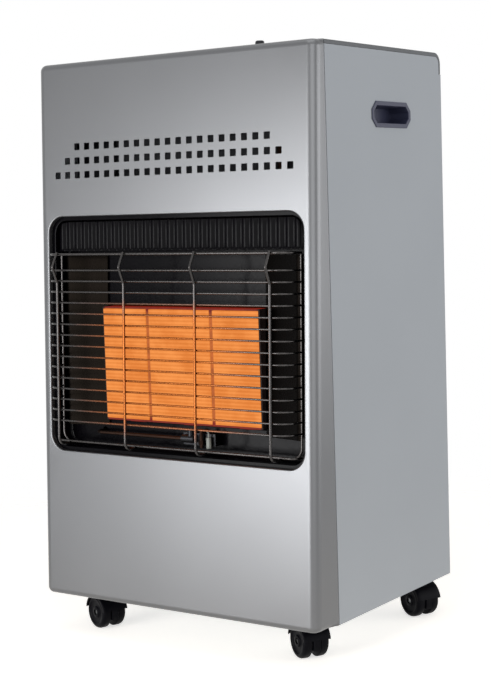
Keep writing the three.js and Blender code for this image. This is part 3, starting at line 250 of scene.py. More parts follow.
def filleted(corners, radii, steps=8):
    """A bent line: each inner corner becomes an arc that leaves the first leg and meets the second."""
    corners = np.asarray(corners, float)
    out = [corners[:1]]
    for before, corner, after, radius in zip(corners, corners[1:], corners[2:], radii):
        a = (corner - before) / np.linalg.norm(corner - before)
        b = (after - corner) / np.linalg.norm(after - corner)
        turn = math.acos(np.clip(a @ b, -1, 1))
        across = (b - (a @ b) * a) / math.sin(turn)
        s = np.linspace(0, turn, steps + 1)[:, None]
        start = corner - radius * math.tan(turn / 2) * a
        out.append(start + radius * (np.sin(s) * a + (1 - np.cos(s)) * across))
    return np.concatenate(out + [corners[-1:]])


def tube(path, radius, axis, sides=12):
    """A round wire: a circle carried along a flat path, with one arm across it and one along its axis."""
    path, axis = np.asarray(path, float), np.asarray(axis, float)
    along = np.gradient(path, axis=0)
    along /= np.linalg.norm(along, axis=1, keepdims=True)
    arm = np.cross(axis, along)
    angle = np.linspace(0, 2 * math.pi, sides, endpoint=False)[:, None]
    loops = path[:, None, :] + radius * (np.cos(angle) * arm[:, None, :] + np.sin(angle) * axis)
    return rings(loops, cap_first=True, cap_last=True)


# %% [markdown]
# Materials. Each is built from what the real surface is. One function turns an sRGB hex value into the
# linear numbers that Blender mixes, and one adds a node with its settings and links. Patterns read
# Object coordinates, which are metres here, so a grain of so many millimetres has a scale of
# one thousand divided by that size. A noise texture mostly stays between 0.3 and 0.7, so that range is
# what gets stretched over a colour or a roughness.

# %% Colour and node helpers
NOISE_SPAN = {"From Min": 0.3, "From Max": 0.7}
FINE_SHARE = 0.35  # how much of the tone follows the fine grain
TONE_LOW, TONE_HIGH = 0.35, 0.95  # range of the fine share and the slow drift together
BUMP_STRENGTH = 0.6


def colour(hex_value):
    """sRGB hex to linear: the usual curve, straight below 0.04 and a power of 2.4 above."""
    c = np.array([int(hex_value[i:i + 2], 16) / 255 for i in (0, 2, 4)])
    c = np.where(c <= 0.04045, c / 12.92, ((c + 0.055) / 1.055) ** 2.4)
    return (*c.tolist(), 1.0)


def add(tree, kind, settings=None, links=None, **options):
    """A node of that kind, its options and socket values set, its sockets linked."""
    node = tree.nodes.new("ShaderNode" + kind)
    for key, value in options.items():
        setattr(node, key, value)
    for key, value in (settings or {}).items():
        node.inputs[key].default_value = value
    for key, source in (links or {}).items():
        tree.links.new(source, node.inputs[key])
    return node


def new_material(name):
    """An empty node material with its output, and the object coordinates that patterns read."""
    material = bpy.data.materials.new(name)
    material.use_nodes = True
    tree = material.node_tree
    tree.nodes.clear()
    out = add(tree, "OutputMaterial")
    place = add(tree, "TexCoord").outputs["Object"]
    return material, tree, out, place


def grained(name, dark, light, grain_mm, settings, rough=(0.4, 0.5), bump_mm=0.02, patch_mm=60.0,
            stretch=None):
    """A surface with fine grain in its bump and roughness and a slow drift of tone over patches. The
    tone is the slow noise plus a share of the fine one."""
    material, tree, out, place = new_material(name)
    if stretch:
        place = add(tree, "Mapping", {"Scale": stretch}, {"Vector": place}).outputs["Vector"]
    fine = add(tree, "TexNoise", {"Scale": 1000 / grain_mm, "Detail": 3.0}, {"Vector": place})
    slow = add(tree, "TexNoise", {"Scale": 1000 / patch_mm, "Detail": 2.0}, {"Vector": place})
    share = add(tree, "Math", {1: FINE_SHARE}, {0: fine.outputs["Fac"]}, operation="MULTIPLY")
    total = add(tree, "Math", {}, {0: share.outputs[0], 1: slow.outputs["Fac"]}, operation="ADD")
    tone = add(tree, "MapRange", {"From Min": TONE_LOW, "From Max": TONE_HIGH}, {"Value": total.outputs[0]})
    mixed = add(tree, "MixRGB", {"Color1": colour(dark), "Color2": colour(light)}, {"Fac": tone.outputs[0]})
    gloss = add(tree, "MapRange", {**NOISE_SPAN, "To Min": rough[0], "To Max": rough[1]},
                {"Value": fine.outputs["Fac"]})
    bump = add(tree, "Bump", {"Strength": BUMP_STRENGTH, "Distance": bump_mm * MM},
               {"Height": fine.outputs["Fac"]})
    shader = add(tree, "BsdfPrincipled", settings,
                 {"Base Color": mixed.outputs[0], "Roughness": gloss.outputs[0],
                  "Normal": bump.outputs[0]})
    tree.links.new(shader.outputs[0], out.inputs["Surface"])
    return material


# %% [markdown]
# The front is steel sheet in silver metallic lacquer: aluminium flakes in a clear binder. The flakes
# make it mostly a hazy mirror, so it goes from grey to bright as the eye moves over it. They are about
# 0.1 mm, far too fine to show, and are drawn at 0.9 mm, where they only break the reflection up a little.
# The sides and the rear cover are the same sheet in a plainer grey-blue powder coat with a faint orange
# peel of 2 mm. It is matt, so it looks even all over.

# %% Paints
silver_lacquer = grained("silver_metallic_lacquer", "68696b", "6d6e70", 0.9,
                         {"Metallic": 0.85, "Specular IOR Level": 0.25},
                         rough=(0.32, 0.36), bump_mm=0.002, patch_mm=200)
powder_coat = grained("grey_powder_coat", "aaafb5", "aeb3b9", 2.0, {"Specular IOR Level": 0.1},
                      rough=(0.42, 0.48), bump_mm=0.01, patch_mm=200)
print("paints:", silver_lacquer.name, powder_coat.name)

# %% [markdown]
# Mouldings: the lid is dark grey ABS with a spark-eroded grain of about 0.8 mm, which leaves it dull and
# hides scratches. The handle cups are blue-black polypropylene, a little waxy. The controls are plain
# black ABS, and the casters black nylon, dulled by the floor, so they show almost no highlight.

# %% Plastics
lid_abs = grained("dark_grey_abs", "45484c", "4e5155", 0.8, {}, rough=(0.45, 0.58), bump_mm=0.03)
handle_plastic = grained("blue_black_polypropylene", "32344a", "383b50", 1.0, {"Specular IOR Level": 0.3},
                         rough=(0.4, 0.5), bump_mm=0.02)
black_abs = grained("black_abs", "141519", "1b1c21", 0.8, {"Specular IOR Level": 0.3}, rough=(0.35, 0.45),
                    bump_mm=0.02)
caster_nylon = grained("black_nylon", "020206", "06060b", 1.2, {"Specular IOR Level": 0.06},
                       rough=(0.4, 0.5), bump_mm=0.02)
print("plastics:", lid_abs.name, handle_plastic.name, black_abs.name, caster_nylon.name)

# %% [markdown]
# Enamel and metals inside. The surround and hood are sheet steel in black vitreous enamel: glass fused on
# the steel, so they are deep black. The reflectors beside the plaques are steel painted near black, which
# is
# painted shade: the dark interior that they mirror is painted into their colour, so they are a dark mirror
# that keeps only a hint of the orange. The partition behind the vents is painted black as painted shade,
# for the shade inside the cabinet, so the vents look dark. The copper pipes and the pilot's steel have gone
# brown and blue-grey with heat, the brass is turned and so has fine rings along its height, and the
# porcelain of the spark electrode is sooted. A metal keeps the default IOR.

# %% Enamel, paint and metals
black_enamel = grained("black_vitreous_enamel", "050407", "08070a", 3.0,
                       {"Specular IOR Level": 0.05}, rough=(0.16, 0.24), bump_mm=0.02)
# painted shade: the reflectors are near black because the dark interior that they mirror is painted into
# their colour
reflector_painted_shade = grained("dark_mirror_painted_shade", "050403", "090706", 0.6, {"Metallic": 1.0},
                          rough=(0.22, 0.32), bump_mm=0.01, stretch=(1, 1, 0.05))
# painted shade: the partition is black so that the vents show the shade inside the cabinet
partition_painted_shade = grained("black_partition_painted_shade", "1a1b1f", "28292e", 1.5, {"Specular IOR Level": 0.2},
                      rough=(0.5, 0.6))
cast_metal = grained("die_cast_aluminium", "86898c", "9c9fa2", 0.7, {"Metallic": 0.9},
                     rough=(0.45, 0.6), bump_mm=0.05)
bright_steel = grained("zinc_plated_steel", "8b8d8e", "a3a5a5", 0.8, {"Metallic": 1.0}, rough=(0.3, 0.42))
brass = grained("turned_brass", "a98a50", "bf9d62", 0.5, {"Metallic": 1.0},
                rough=(0.25, 0.35), stretch=(1, 1, 8))
copper = grained("heat_darkened_copper", "1c1411", "2c1f19", 2.0, {"Metallic": 1.0}, rough=(0.4, 0.55))
blued_steel = grained("blued_steel", "1d1d20", "2f2f31", 1.5, {"Metallic": 1.0}, rough=(0.3, 0.42))
porcelain = grained("sooted_porcelain", "6d706b", "8a8d86", 3.0, {}, rough=(0.3, 0.4))
print("enamel and paint:", black_enamel.name, partition_painted_shade.name)
print("metals:", reflector_painted_shade.name, cast_metal.name, bright_steel.name, brass.name, copper.name,
      blued_steel.name)

# %% [markdown]
# Two metals have a pattern of their own. Galvanised sheet shows zinc crystals, called spangle, of 8 to
# 15 mm, and each lies at its own angle, so each has its own tone and gloss. The guard is zinc-plated wire
# that has gone dull grey. In front of the plaques it is bronze, partly heat tint and partly painted light:
# the plaques' orange glow on the wire is painted into it, so it stands out less there. That painted tint
# follows the distance from the middle of the burner.

# %% Spangle, and wire with a painted glow
SPANGLE = 11.0


def galvanised_sheet():
    """Zinc crystals as cells of one spangle each, with the cell's random colour as its tone and gloss."""
    material, tree, out, place = new_material("galvanised_steel")
    cells = add(tree, "TexVoronoi", {"Scale": 1000 / SPANGLE}, {"Vector": place})
    tone = add(tree, "SeparateColor", {}, {"Color": cells.outputs["Color"]})
    mixed = add(tree, "MixRGB", {"Color1": colour("858b90"), "Color2": colour("a3a9ad")},
                {"Fac": tone.outputs[0]})
    gloss = add(tree, "MapRange", {"To Min": 0.38, "To Max": 0.52}, {"Value": tone.outputs[1]})
    shader = add(tree, "BsdfPrincipled", {"Metallic": 0.85},
                 {"Base Color": mixed.outputs[0], "Roughness": gloss.outputs[0]})
    tree.links.new(shader.outputs[0], out.inputs["Surface"])
    return material


def near_burner(tree, place, wide, high):
    """One at the middle of the burner and nought away from it: along each axis the value falls in a
    straight line between two distances in mm, and the two are multiplied."""
    middle = float(tipped([0, 0, BURNER_MIDDLE])[2] + ORIGIN[2]) * MM
    split = add(tree, "SeparateXYZ", {}, {"Vector": place})
    rise = add(tree, "Math", {1: middle}, {0: split.outputs["Z"]}, operation="SUBTRACT")
    falls = []
    for away, (full, gone) in ((split.outputs["X"], wide), (rise.outputs[0], high)):
        size = add(tree, "Math", {}, {0: away}, operation="ABSOLUTE")
        span = {"From Min": full * MM, "From Max": gone * MM, "To Min": 1.0, "To Max": 0.0}
        falls.append(add(tree, "MapRange", span, {"Value": size.outputs[0]}).outputs[0])
    return add(tree, "Math", {}, {0: falls[0], 1: falls[1]}, operation="MULTIPLY").outputs[0]


def wire_with_painted_glow(grain_mm=2.5):
    """Plated wire that goes from grey to bronze in front of the glowing plaques: the bronze is painted
    light, the plaques' orange glow on the wire, with some heat tint. Both tints are uneven with the same
    fine noise."""
    material, tree, out, place = new_material("plated_wire_heat_tint_and_painted_glow")
    mask = near_burner(tree, place, wide=(70, 140), high=(58, 86))
    fine = add(tree, "TexNoise", {"Scale": 1000 / grain_mm, "Detail": 3.0}, {"Vector": place})
    grey = add(tree, "MixRGB", {"Color1": colour("3a3838"), "Color2": colour("4c4a49")},
               {"Fac": fine.outputs["Fac"]})
    # painted light: the bronze in front of the plaques holds the plaques' orange glow on the wire, with
    # some heat tint
    bronze_painted_glow = add(tree, "MixRGB", {"Color1": colour("7a4220"), "Color2": colour("8e5226")},
                 {"Fac": fine.outputs["Fac"]})
    tint = add(tree, "MixRGB", {}, {"Fac": mask, "Color1": grey.outputs[0], "Color2": bronze_painted_glow.outputs[0]})
    gloss = add(tree, "MapRange", {"To Min": 0.2, "To Max": 0.36}, {"Value": fine.outputs["Fac"]})
    shader = add(tree, "BsdfPrincipled", {"Metallic": 1.0},
                 {"Base Color": tint.outputs[0], "Roughness": gloss.outputs[0]})
    tree.links.new(shader.outputs[0], out.inputs["Surface"])
    return material


galvanised = galvanised_sheet()
plated_wire = wire_with_painted_glow()
print("patterned metals:", galvanised.name, plated_wire.name)

# %% [markdown]
# The plaques are porous ceramic, pressed with rows of tiny holes that the gas burns in, so the face
# itself glows orange. The glow is emission at about the strength of the lit scene, so that it reads as
# hot but keeps its colour. It is a little weaker between the rows of holes and in slow clouds. The holes
# are about 1.2 mm apart, too fine to show, and are drawn with a pitch of 4.6 mm.
# The steel that frames the plaques has dark scale on it. Its glow is painted light, with some red heat of
# its own: the orange in the joints between them and the dull red round them, which is the thin red line
# over and under the burner, stand for the plaques' glow falling on the steel. The painted glow fades out
# behind the plaques' faces.

# %% Glowing ceramic, and steel with a painted glow
GLOW_PITCH = 4.6
ROW_CONTRAST, CLOUD = 0.12, 30.0  # strength of the rows, and the size of the clouds in mm
SCALE_PATCH = 12.0  # size in mm of the uneven patches in the steel's painted glow
PAINTED_GLOW_DEPTH = (4.0, 11.0)  # behind the plaques' faces, where the painted glow starts to fall and where it ends


def glowing_ceramic():
    """Base of peach ceramic plus an orange glow. Its tone is a cloudy noise plus a sine of the height,
    which has one period for each row of holes."""
    material, tree, out, place = new_material("glowing_ceramic")
    across = add(tree, "SeparateXYZ", {}, {"Vector": place})
    rows = add(tree, "Math", {1: 2000 * math.pi / GLOW_PITCH}, {0: across.outputs["Z"]},
               operation="MULTIPLY")
    wave = add(tree, "Math", {}, {0: rows.outputs[0]}, operation="SINE")
    cloud = add(tree, "TexNoise", {"Scale": 1000 / CLOUD, "Detail": 3.0}, {"Vector": place})
    tone = add(tree, "Math", {1: ROW_CONTRAST}, {0: wave.outputs[0], 2: cloud.outputs["Fac"]},
               operation="MULTIPLY_ADD")
    heat = add(tree, "MapRange", NOISE_SPAN, {"Value": tone.outputs[0]})
    glow = add(tree, "MixRGB", {"Color1": colour("d47428"), "Color2": colour("f09448")},
               {"Fac": heat.outputs[0]})
    shader = add(tree, "BsdfPrincipled",
                 {"Base Color": colour("6a3d20"), "Roughness": 0.9, "Specular IOR Level": 0.2,
                  "Emission Strength": 0.9},
                 {"Emission Color": glow.outputs[0]})
    tree.links.new(shader.outputs[0], out.inputs["Surface"])
    return material


def steel_with_painted_glow():
    """Dark scale with a painted glow that stands for the plaques' light falling on it, with some red heat
    of its
    own: an uneven noise, times one near the burner and nought away from it, times one at the plaques' faces
    and nought behind them. It is red, and orange between the plaques."""
    material, tree, out, place = new_material("scaled_steel_painted_glow")
    patch = add(tree, "TexNoise", {"Scale": 1000 / SCALE_PATCH, "Detail": 2.0}, {"Vector": place})
    uneven = add(tree, "MapRange", {**NOISE_SPAN, "To Min": 0.6, "To Max": 0.9},
                 {"Value": patch.outputs["Fac"]})
    # painted glow: the steel's emission strength, from noise and nearness to the burner
    heat = add(tree, "Math", {},
               {0: uneven.outputs[0], 1: near_burner(tree, place, (116, 119), (90, 100))},
               operation="MULTIPLY")
    behind = add(tree, "SeparateXYZ", {}, {"Vector": place}).outputs["Y"]
    face = float(tipped([0, PLAQUE_FACE, BURNER_MIDDLE])[1] + ORIGIN[1])
    near, gone = ((face + depth) * MM for depth in PAINTED_GLOW_DEPTH)
    depth = add(tree, "MapRange", {"From Min": near, "From Max": gone, "To Min": 1.0, "To Max": 0.0},
                {"Value": behind})
    heat = add(tree, "Math", {}, {0: heat.outputs[0], 1: depth.outputs[0]}, operation="MULTIPLY")
    # painted light: the orange between the plaques and the red round them stand for the plaques' glow
    # falling on the steel
    tint = add(tree, "MixRGB", {"Color1": colour("8a1e0a"), "Color2": colour("d06a28")},
               {"Fac": near_burner(tree, place, (108, 116), (62, 68))})
    shader = add(tree, "BsdfPrincipled",
                 {"Base Color": colour("1c1210"), "Roughness": 0.7, "Specular IOR Level": 0.2},
                 {"Emission Color": tint.outputs[0], "Emission Strength": heat.outputs[0]})
    tree.links.new(shader.outputs[0], out.inputs["Surface"])
    return material


ceramic = glowing_ceramic()
burner_steel_glow_painted = steel_with_painted_glow()
print("glow rows every", GLOW_PITCH, "mm, in", ceramic.name, "and", burner_steel_glow_painted.name)

# %% [markdown]
# The camera stands where the photograph was taken from, to the right of the front and a little below
# the top of the heater. It could be set by eye, but then small errors in its place would pass for errors
# of shape. So its place, turn and lens were solved from the corners of the cabinet. The sensor's 36 mm
# run along the picture's long, upright side.

# %% Camera
SENSOR = 36.0
CAMERA_PLACE = (1.1360, -1.60897, 0.5544)
CAMERA_YAW, CAMERA_PITCH, CAMERA_ROLL, CAMERA_LENS = -34.96, -5.64, -1.86, 78.54


def photo_camera(place, yaw, pitch, roll, lens):
    """Looks along yaw and pitch in degrees, the picture turned by roll, from a place in metres. The
    camera's right and down are the level ones, mixed by the cosine and sine of the roll."""
    y, p, r = (math.radians(v) for v in (yaw, pitch, roll))
    ahead = Vector((math.sin(y) * math.cos(p), math.cos(y) * math.cos(p), math.sin(p)))
    right = Vector((math.cos(y), -math.sin(y), 0.0))
    down = ahead.cross(right)
    c, s = math.cos(r), math.sin(r)
    right, down = right * c - down * s, right * s + down * c
    camera = bpy.data.objects.new("camera", bpy.data.cameras.new("camera"))
    bpy.context.scene.collection.objects.link(camera)
    turn = Matrix((right, -down, -ahead)).transposed().to_4x4()
    camera.matrix_world = Matrix.Translation(place) @ turn
    camera.data.lens, camera.data.sensor_width, camera.data.sensor_fit = lens, SENSOR, "AUTO"
    bpy.context.scene.camera = camera
    return camera


camera = photo_camera(CAMERA_PLACE, CAMERA_YAW, CAMERA_PITCH, CAMERA_ROLL, CAMERA_LENS)
print("camera at", tuple(round(v, 3) for v in camera.location))

# %% [markdown]
# The stage is a pale floor that fades into the white surroundings with distance, so that no horizon
# shows, and keeps the heater's shadow near its feet. A curved backdrop would do the same from in front,
# but not from behind. The world and the floor are white to the camera
# and in reflections, but give off far less light than that, so the heater isn't washed out.

# %% Floor and world
FLOOR_RADIUS, FLOOR_HOLE = 1.3, 0.05  # metres: the disc, and its innermost ring
FADE_START, FADE_END = 0.45, 1.1  # metres from the middle between which the floor turns to background
FLOOR_LIFT = 0.62  # what the lit floor lacks to white
AMBIENT = 0.2


def seen_rays(tree):
    """One for rays from the camera, in a reflection or through glass, and otherwise nought: the largest
    of the three answers that Light Path gives."""
    path = add(tree, "LightPath")
    seen = add(tree, "Math", {}, {0: path.outputs["Is Camera Ray"], 1: path.outputs["Is Glossy Ray"]},
               operation="MAXIMUM")
    return add(tree, "Math", {}, {0: seen.outputs[0], 1: path.outputs["Is Transmission Ray"]},
               operation="MAXIMUM").outputs[0]


def pale_floor():
    """Pale paint whose outer part lets the white world through, by its distance from the middle. To the
    camera and in reflections it is lifted towards white, which leaves a faint shadow on it."""
    material, tree, out, place = new_material("pale_floor")
    far = add(tree, "VectorMath", {}, {0: place}, operation="LENGTH")
    fade = add(tree, "MapRange", {"From Min": FADE_START, "From Max": FADE_END},
               {"Value": far.outputs["Value"]})
    lift = add(tree, "Math", {1: FLOOR_LIFT}, {0: seen_rays(tree)}, operation="MULTIPLY")
    white = add(tree, "Emission", {}, {"Strength": lift.outputs[0]})
    paint = add(tree, "BsdfPrincipled", {"Base Color": colour("f6efe4"), "Roughness": 0.9})
    lifted = add(tree, "AddShader", {}, {0: paint.outputs[0], 1: white.outputs[0]})
    clear = add(tree, "BsdfTransparent")
    mixed = add(tree, "MixShader", {}, {"Fac": fade.outputs[0], 1: lifted.outputs[0], 2: clear.outputs[0]})
    tree.links.new(mixed.outputs[0], out.inputs["Surface"])
    return material


def floor_disc(circles=12, sides=64):
    """Rings of points round the middle of the floor, with one face over the innermost ring."""
    r = np.linspace(FLOOR_HOLE, FLOOR_RADIUS, circles)[:, None]
    angle = np.linspace(0, 2 * math.pi, sides, endpoint=False)
    points = np.stack([r * np.cos(angle), r * np.sin(angle), np.zeros((circles, sides))], -1)
    mesh = bpy.data.meshes.new("floor")
    faces = grid_faces(circles, sides, around=True).tolist() + [list(range(sides))]
    mesh.from_pydata(points.reshape(-1, 3).tolist(), [], faces)
    mesh.materials.append(pale_floor())
    disc = bpy.data.objects.new("floor", mesh)
    bpy.context.scene.collection.objects.link(disc)
    return disc


def white_world(ambient):
    """White to the camera and in reflections, and for all other rays only ambient times as strong."""
    world = bpy.data.worlds.new("studio")
    bpy.context.scene.world = world
    world.use_nodes = True
    tree = world.node_tree
    tree.nodes.clear()
    soft = add(tree, "Background", {"Color": (1, 1, 1, 1), "Strength": ambient})
    white = add(tree, "Background", {"Color": (1, 1, 1, 1), "Strength": 1.0})
    mixed = add(tree, "MixShader", {}, {"Fac": seen_rays(tree), 1: soft.outputs[0], 2: white.outputs[0]})
    add(tree, "OutputWorld", {}, {"Surface": mixed.outputs[0]})


floor = floor_disc()
white_world(AMBIENT)
print("floor of", FLOOR_RADIUS, "m, world at", AMBIENT)

# %% [markdown]
# Four large soft lamps light the heater at a plain level. The front panel mirrors the one at the front
# left as a hazy gleam. One at the right lights the side, one fills in from the camera's side, and a weak
# one hangs overhead.

# %% Lamps
AIM, AIM_FRONT, AIM_HIGH = (0, 0, 0.3), (0, -0.1, 0.3), (0, 0, 0.4)


def soft_lamp(name, place, aim, size, watts):
    """A flat lamp of some width and height in metres that looks from its place at an aim point."""
    lamp = bpy.data.objects.new(name, bpy.data.lights.new(name, "AREA"))
    lamp.data.shape = "RECTANGLE"
    lamp.data.size, lamp.data.size_y = size
    lamp.data.energy = watts
    lamp.location = place
    lamp.rotation_mode = "QUATERNION"
    lamp.rotation_quaternion = (Vector(aim) - Vector(place)).to_track_quat("-Z", "Y")
    bpy.context.scene.collection.objects.link(lamp)
    return lamp


lamps = [soft_lamp("lamp_right", (1.95, 0.95, 0.6), AIM, (2.0, 1.1), 17),
         soft_lamp("lamp_front", (-0.5, -1.75, 0.34), AIM_FRONT, (1.1, 0.8), 28),
         soft_lamp("lamp_fill", (1.5, -1.5, 0.8), AIM, (1.5, 1.5), 11),
         soft_lamp("lamp_top", (0.2, -0.3, 2.2), AIM_HIGH, (1.6, 1.6), 9)]
bpy.context.scene.view_settings.view_transform = "Standard"
print("lamps:", [lamp.name for lamp in lamps])

# %% [markdown]
# The front panel is one pressed sheet: flat in front, rolled round its upright edges into short side
# returns, and rolled over at the top and bottom. A box with bevelled edges would round the seam to the
# sides as well, which is sharp here. So it is a grid of the plan outline carried up the height, whose
# outline draws in as it rounds the rims, except where the returns meet the sides.

# %% Front panel: the rounded skin
EDGE_RADIUS, RIM_RADIUS = 12.0, 8.0
FLAT_X = HALF - EDGE_RADIUS
EDGE_STEPS = 10


def front_levels(rim_steps=6, straight=12):
    """Heights up the panel and how far the outline is drawn in at each: a quarter circle at both rims."""
    a = np.linspace(0, math.pi / 2, rim_steps + 1)
    low_z, low_in = RIM_RADIUS * (1 - np.cos(a)), RIM_RADIUS * (1 - np.sin(a))
    middle = np.linspace(RIM_RADIUS, HEIGHT - RIM_RADIUS, straight + 1)[1:-1]
    z = np.concatenate([low_z, middle, HEIGHT - low_z[::-1]])
    inset = np.concatenate([low_in, 0 * middle, low_in[::-1]])
    return z[:, None], inset[:, None]


def front_grid(arc_steps=EDGE_STEPS, flat_steps=16):
    """Plan outline at each level: left return, left edge arc, flat front, right edge arc, right return.
    It starts as far back as the lean has brought the front at that height, plus the inset."""
    z, inset = front_levels()
    half, lead, radius = HALF - inset, z * math.tan(LEAN) + inset, EDGE_RADIUS - inset
    left = np.linspace(math.pi, 1.5 * math.pi, arc_steps + 1)
    flat = np.linspace(-FLAT_X, FLAT_X, flat_steps + 1)[1:-1]
    ones = np.ones_like(z)
    x = np.hstack([-HALF * ones, -half, -half + radius + radius * np.cos(left), ones * flat,
                   half - radius - radius * np.cos(left[::-1]), half, HALF * ones])
    middle = (RETURN_END + lead + radius) / 2
    y = np.hstack([ones * RETURN_END, middle, lead + radius + radius * np.sin(left), lead + 0 * flat,
                   lead + radius + radius * np.sin(left[::-1]), middle, ones * RETURN_END])
    return np.stack([x, y, np.broadcast_to(z, x.shape)], -1)


skin = front_grid()
print("front skin:", skin.shape[0], "levels of", skin.shape[1], "points")

# %% [markdown]
# The flat middle of the front is a sheet with the window and the rows of square vents cut out, as a press
# does it, and the window's edge is rolled inwards as a lip, which stiffens it and hides the cut edge.
# Cutting 63 vents with booleans would be slow and could leave slivers, so they are loops that the
# triangulation leaves open. The sheet takes the place of the same area of the skin. Folds at the top and
# bottom run back from the skin's rims.

# %% Front panel: window, vents and folds
VENT_HOLE, VENT_CORNER, VENT_PITCH = 8.6, 0.9, 16.05
VENT_ROWS = ((19, 576.0), (21, 558.3), (23, 540.6))  # count and height of each row
LIP_RADIUS, LIP_DEPTH = 1.6, 6.8
LOW_FOLD = 15.0  # how far back the bottom fold reaches


def window_loop(inset, depth, steps=10):
    """The window's outline made smaller by an inset, in the plane of the front, at a depth behind it."""
    width, height, radius = (WINDOW["width"] - 2 * inset, WINDOW["height"] - 2 * inset,
                             WINDOW["radius"] - inset)
    flat = rounded_outline(width, height, radius, steps, (0, WINDOW["z"]))
    return tipped(upright(flat, depth))


def front_holes():
    """The window, and each row of vents at equal steps about the middle, as loops of x and height."""
    holes = [window_loop(-LIP_RADIUS, 0)[:, [0, 2]]]
    for count, z in VENT_ROWS:
        for x in (np.arange(count) - (count - 1) / 2) * VENT_PITCH:
            holes.append(rounded_outline(VENT_HOLE, VENT_HOLE, VENT_CORNER, 2, (x, z)))
    return holes


def window_lip(steps=4):
    """A quarter circle from the front's face into the window, then straight back."""
    turn = np.linspace(0, math.pi / 2, steps + 1)
    loops = [window_loop(-LIP_RADIUS * (1 - math.sin(t)), LIP_RADIUS * (1 - math.cos(t))) for t in turn]
    return rings(loops + [window_loop(0, LIP_DEPTH)])


def front_panel(body):
    """The skin without its flat middle, the sheet that fills it, the lip, and the two folds. The sheet's
    depth at a height is that height times the tangent of the lean."""
    rows, columns = body.shape[:2]
    first = int(np.argmin(np.abs(body[:, 0, 2] - RIM_RADIUS)))
    last = rows - 1 - first
    left, right = EDGE_STEPS + 2, columns - EDGE_STEPS - 3
    skip = np.zeros((rows - 1, columns - 1), bool)
    skip[first:last, left:right] = True
    edge = border(body[first:last + 1, left:right + 1])
    flat = sheet(edge[:, [0, 2]], front_holes(),
                 lambda p: np.stack([p[:, 0], p[:, 1] * math.tan(LEAN), p[:, 1]], -1))
    top, low = body[-1].copy(), body[0].copy()
    top[:, 1] = RETURN_END
    low[:, 1] = np.maximum(low[:, 1], LOW_FOLD)
    fold = grid_faces(2, columns).tolist()
    parts = [(body, grid_faces(rows, columns, skip=skip).tolist()), flat, window_lip(),
             (np.stack([body[-1], top]), fold), (np.stack([low, body[0]]), fold)]
    make_piece("front_panel_skin", parts, silver_lacquer, "cabinet", ["front_panel"],
               outside=(0, -1, 0), thickness=SHEET, bevel=0.25)


front_panel(skin)
print("vents:", sum(count for count, _ in VENT_ROWS))

# %% [markdown]
# The lid is a moulding that lies over the sides with a shallow rim and rounds down over the rear. A
# bevelled box would round all of its edges alike. So one section from front to rear is carried across
# the cabinet: the middle stays on that profile, and both ends turn down.
# One square of the grid is left out for the control panel, whose rim covers the edge of that hole.

# %% Lid
CONTROL = dict(x=68.0, y=100.0, width=112.0, depth=68.0, radius=12.0)
CONTROL_HOLE = (52.0, 30.0)  # half the width and half the depth of the hole under the control panel
LID_FRONT, LID_REAR_RADIUS, LID_LOW = 50.0 + GAP, 14.0, 655.0
LID_RIM, LID_EDGE = 5.0, 1.5  # how far the ends turn down, and their rounding


def lid_profile(steps=10):
    """Points and outward directions from the front edge over the top and round to the rear: level, then
    a quarter circle, then straight down."""
    hole = CONTROL["y"] + np.array([-1, 1]) * CONTROL_HOLE[1]
    flat = np.array([LID_FRONT, 60, *hole, 180, 240, 300])
    a = np.linspace(math.pi / 2, 0, steps + 1)
    arc_y, arc_z = DEPTH - LID_REAR_RADIUS * (1 - np.cos(a)), HEIGHT - LID_REAR_RADIUS * (1 - np.sin(a))
    y = np.concatenate([flat, arc_y, [DEPTH]])
    z = np.concatenate([np.full(len(flat), HEIGHT), arc_z, [LID_LOW]])
    out = np.concatenate([np.tile([0.0, 1.0], (len(flat), 1)), np.stack([np.cos(a), np.sin(a)], -1),
                          [[1.0, 0.0]]])
    return np.stack([y, z], -1), out


def lid():
    """Each point is a point of the profile plus its outward direction times a height, which is nought in
    the middle and falls along a quarter circle and then straight at both ends."""
    path, out = lid_profile()
    turn = np.linspace(0, math.pi / 2, 5)
    edge_x, edge_h = HALF - LID_EDGE * (1 - np.sin(turn)), -LID_EDGE * (1 - np.cos(turn))
    hole = CONTROL["x"] + np.array([-1, 1]) * CONTROL_HOLE[0]
    x = np.concatenate([[-HALF], -edge_x[::-1], [-120, -40], hole, [160], edge_x, [HALF]])
    h = np.concatenate([[-LID_RIM], edge_h[::-1], [0] * 5, edge_h, [-LID_RIM]])
    yz = path[:, None, :] + out[:, None, :] * h[None, :, None]
    points = np.stack([np.broadcast_to(x, yz.shape[:2]), yz[..., 0], yz[..., 1]], -1)
    skip = np.zeros((len(path) - 1, len(x) - 1), bool)
    skip[2, np.argmin(np.abs(x - hole[0]))] = True
    quads = grid_faces(len(path), len(x), skip=skip).tolist()
    make_piece("lid", [(points, quads)], lid_abs, "cabinet", ["top_lid"],
               outside=(0, 0, 1), thickness=1.9, bevel=0.3)


lid()
print("lid rounds down over the rear to", LID_LOW, "mm")

# %% [markdown]
# The control panel is a shallow black tray set in the lid, with the knob and the igniter button. Inset
# and extruded faces could make it by hand. Here its rim and walls are rings of one rounded outline, so
# that every rounding is a pair of numbers, and its floor is a sheet with two holes.

# %% Control panel
CONTROL_FLOOR = HEIGHT - 12.0
KNOB_X, BUTTON_X = 88.0, 40.0
SPINDLE_HOLE, BUTTON_HOLE = 5.0, 7.4  # radii of the holes in the floor
FLOOR_INSET = 8.2  # how far inside the rim's outline the floor begins


def control_ring(inset, z, steps=8):
    """The control panel's outline made smaller by an inset, at a height."""
    width, depth, radius = (CONTROL["width"] - 2 * inset, CONTROL["depth"] - 2 * inset,
                            CONTROL["radius"] - inset)
    return level(rounded_outline(width, depth, radius, steps, (CONTROL["x"], CONTROL["y"])), z)


def circle(radius, x, y, sides=32):
    """Points at a radius from x, y, anticlockwise."""
    angle = np.linspace(0, 2 * math.pi, sides, endpoint=False)
    return np.column_stack([x + radius * np.cos(angle), y + radius * np.sin(angle)])


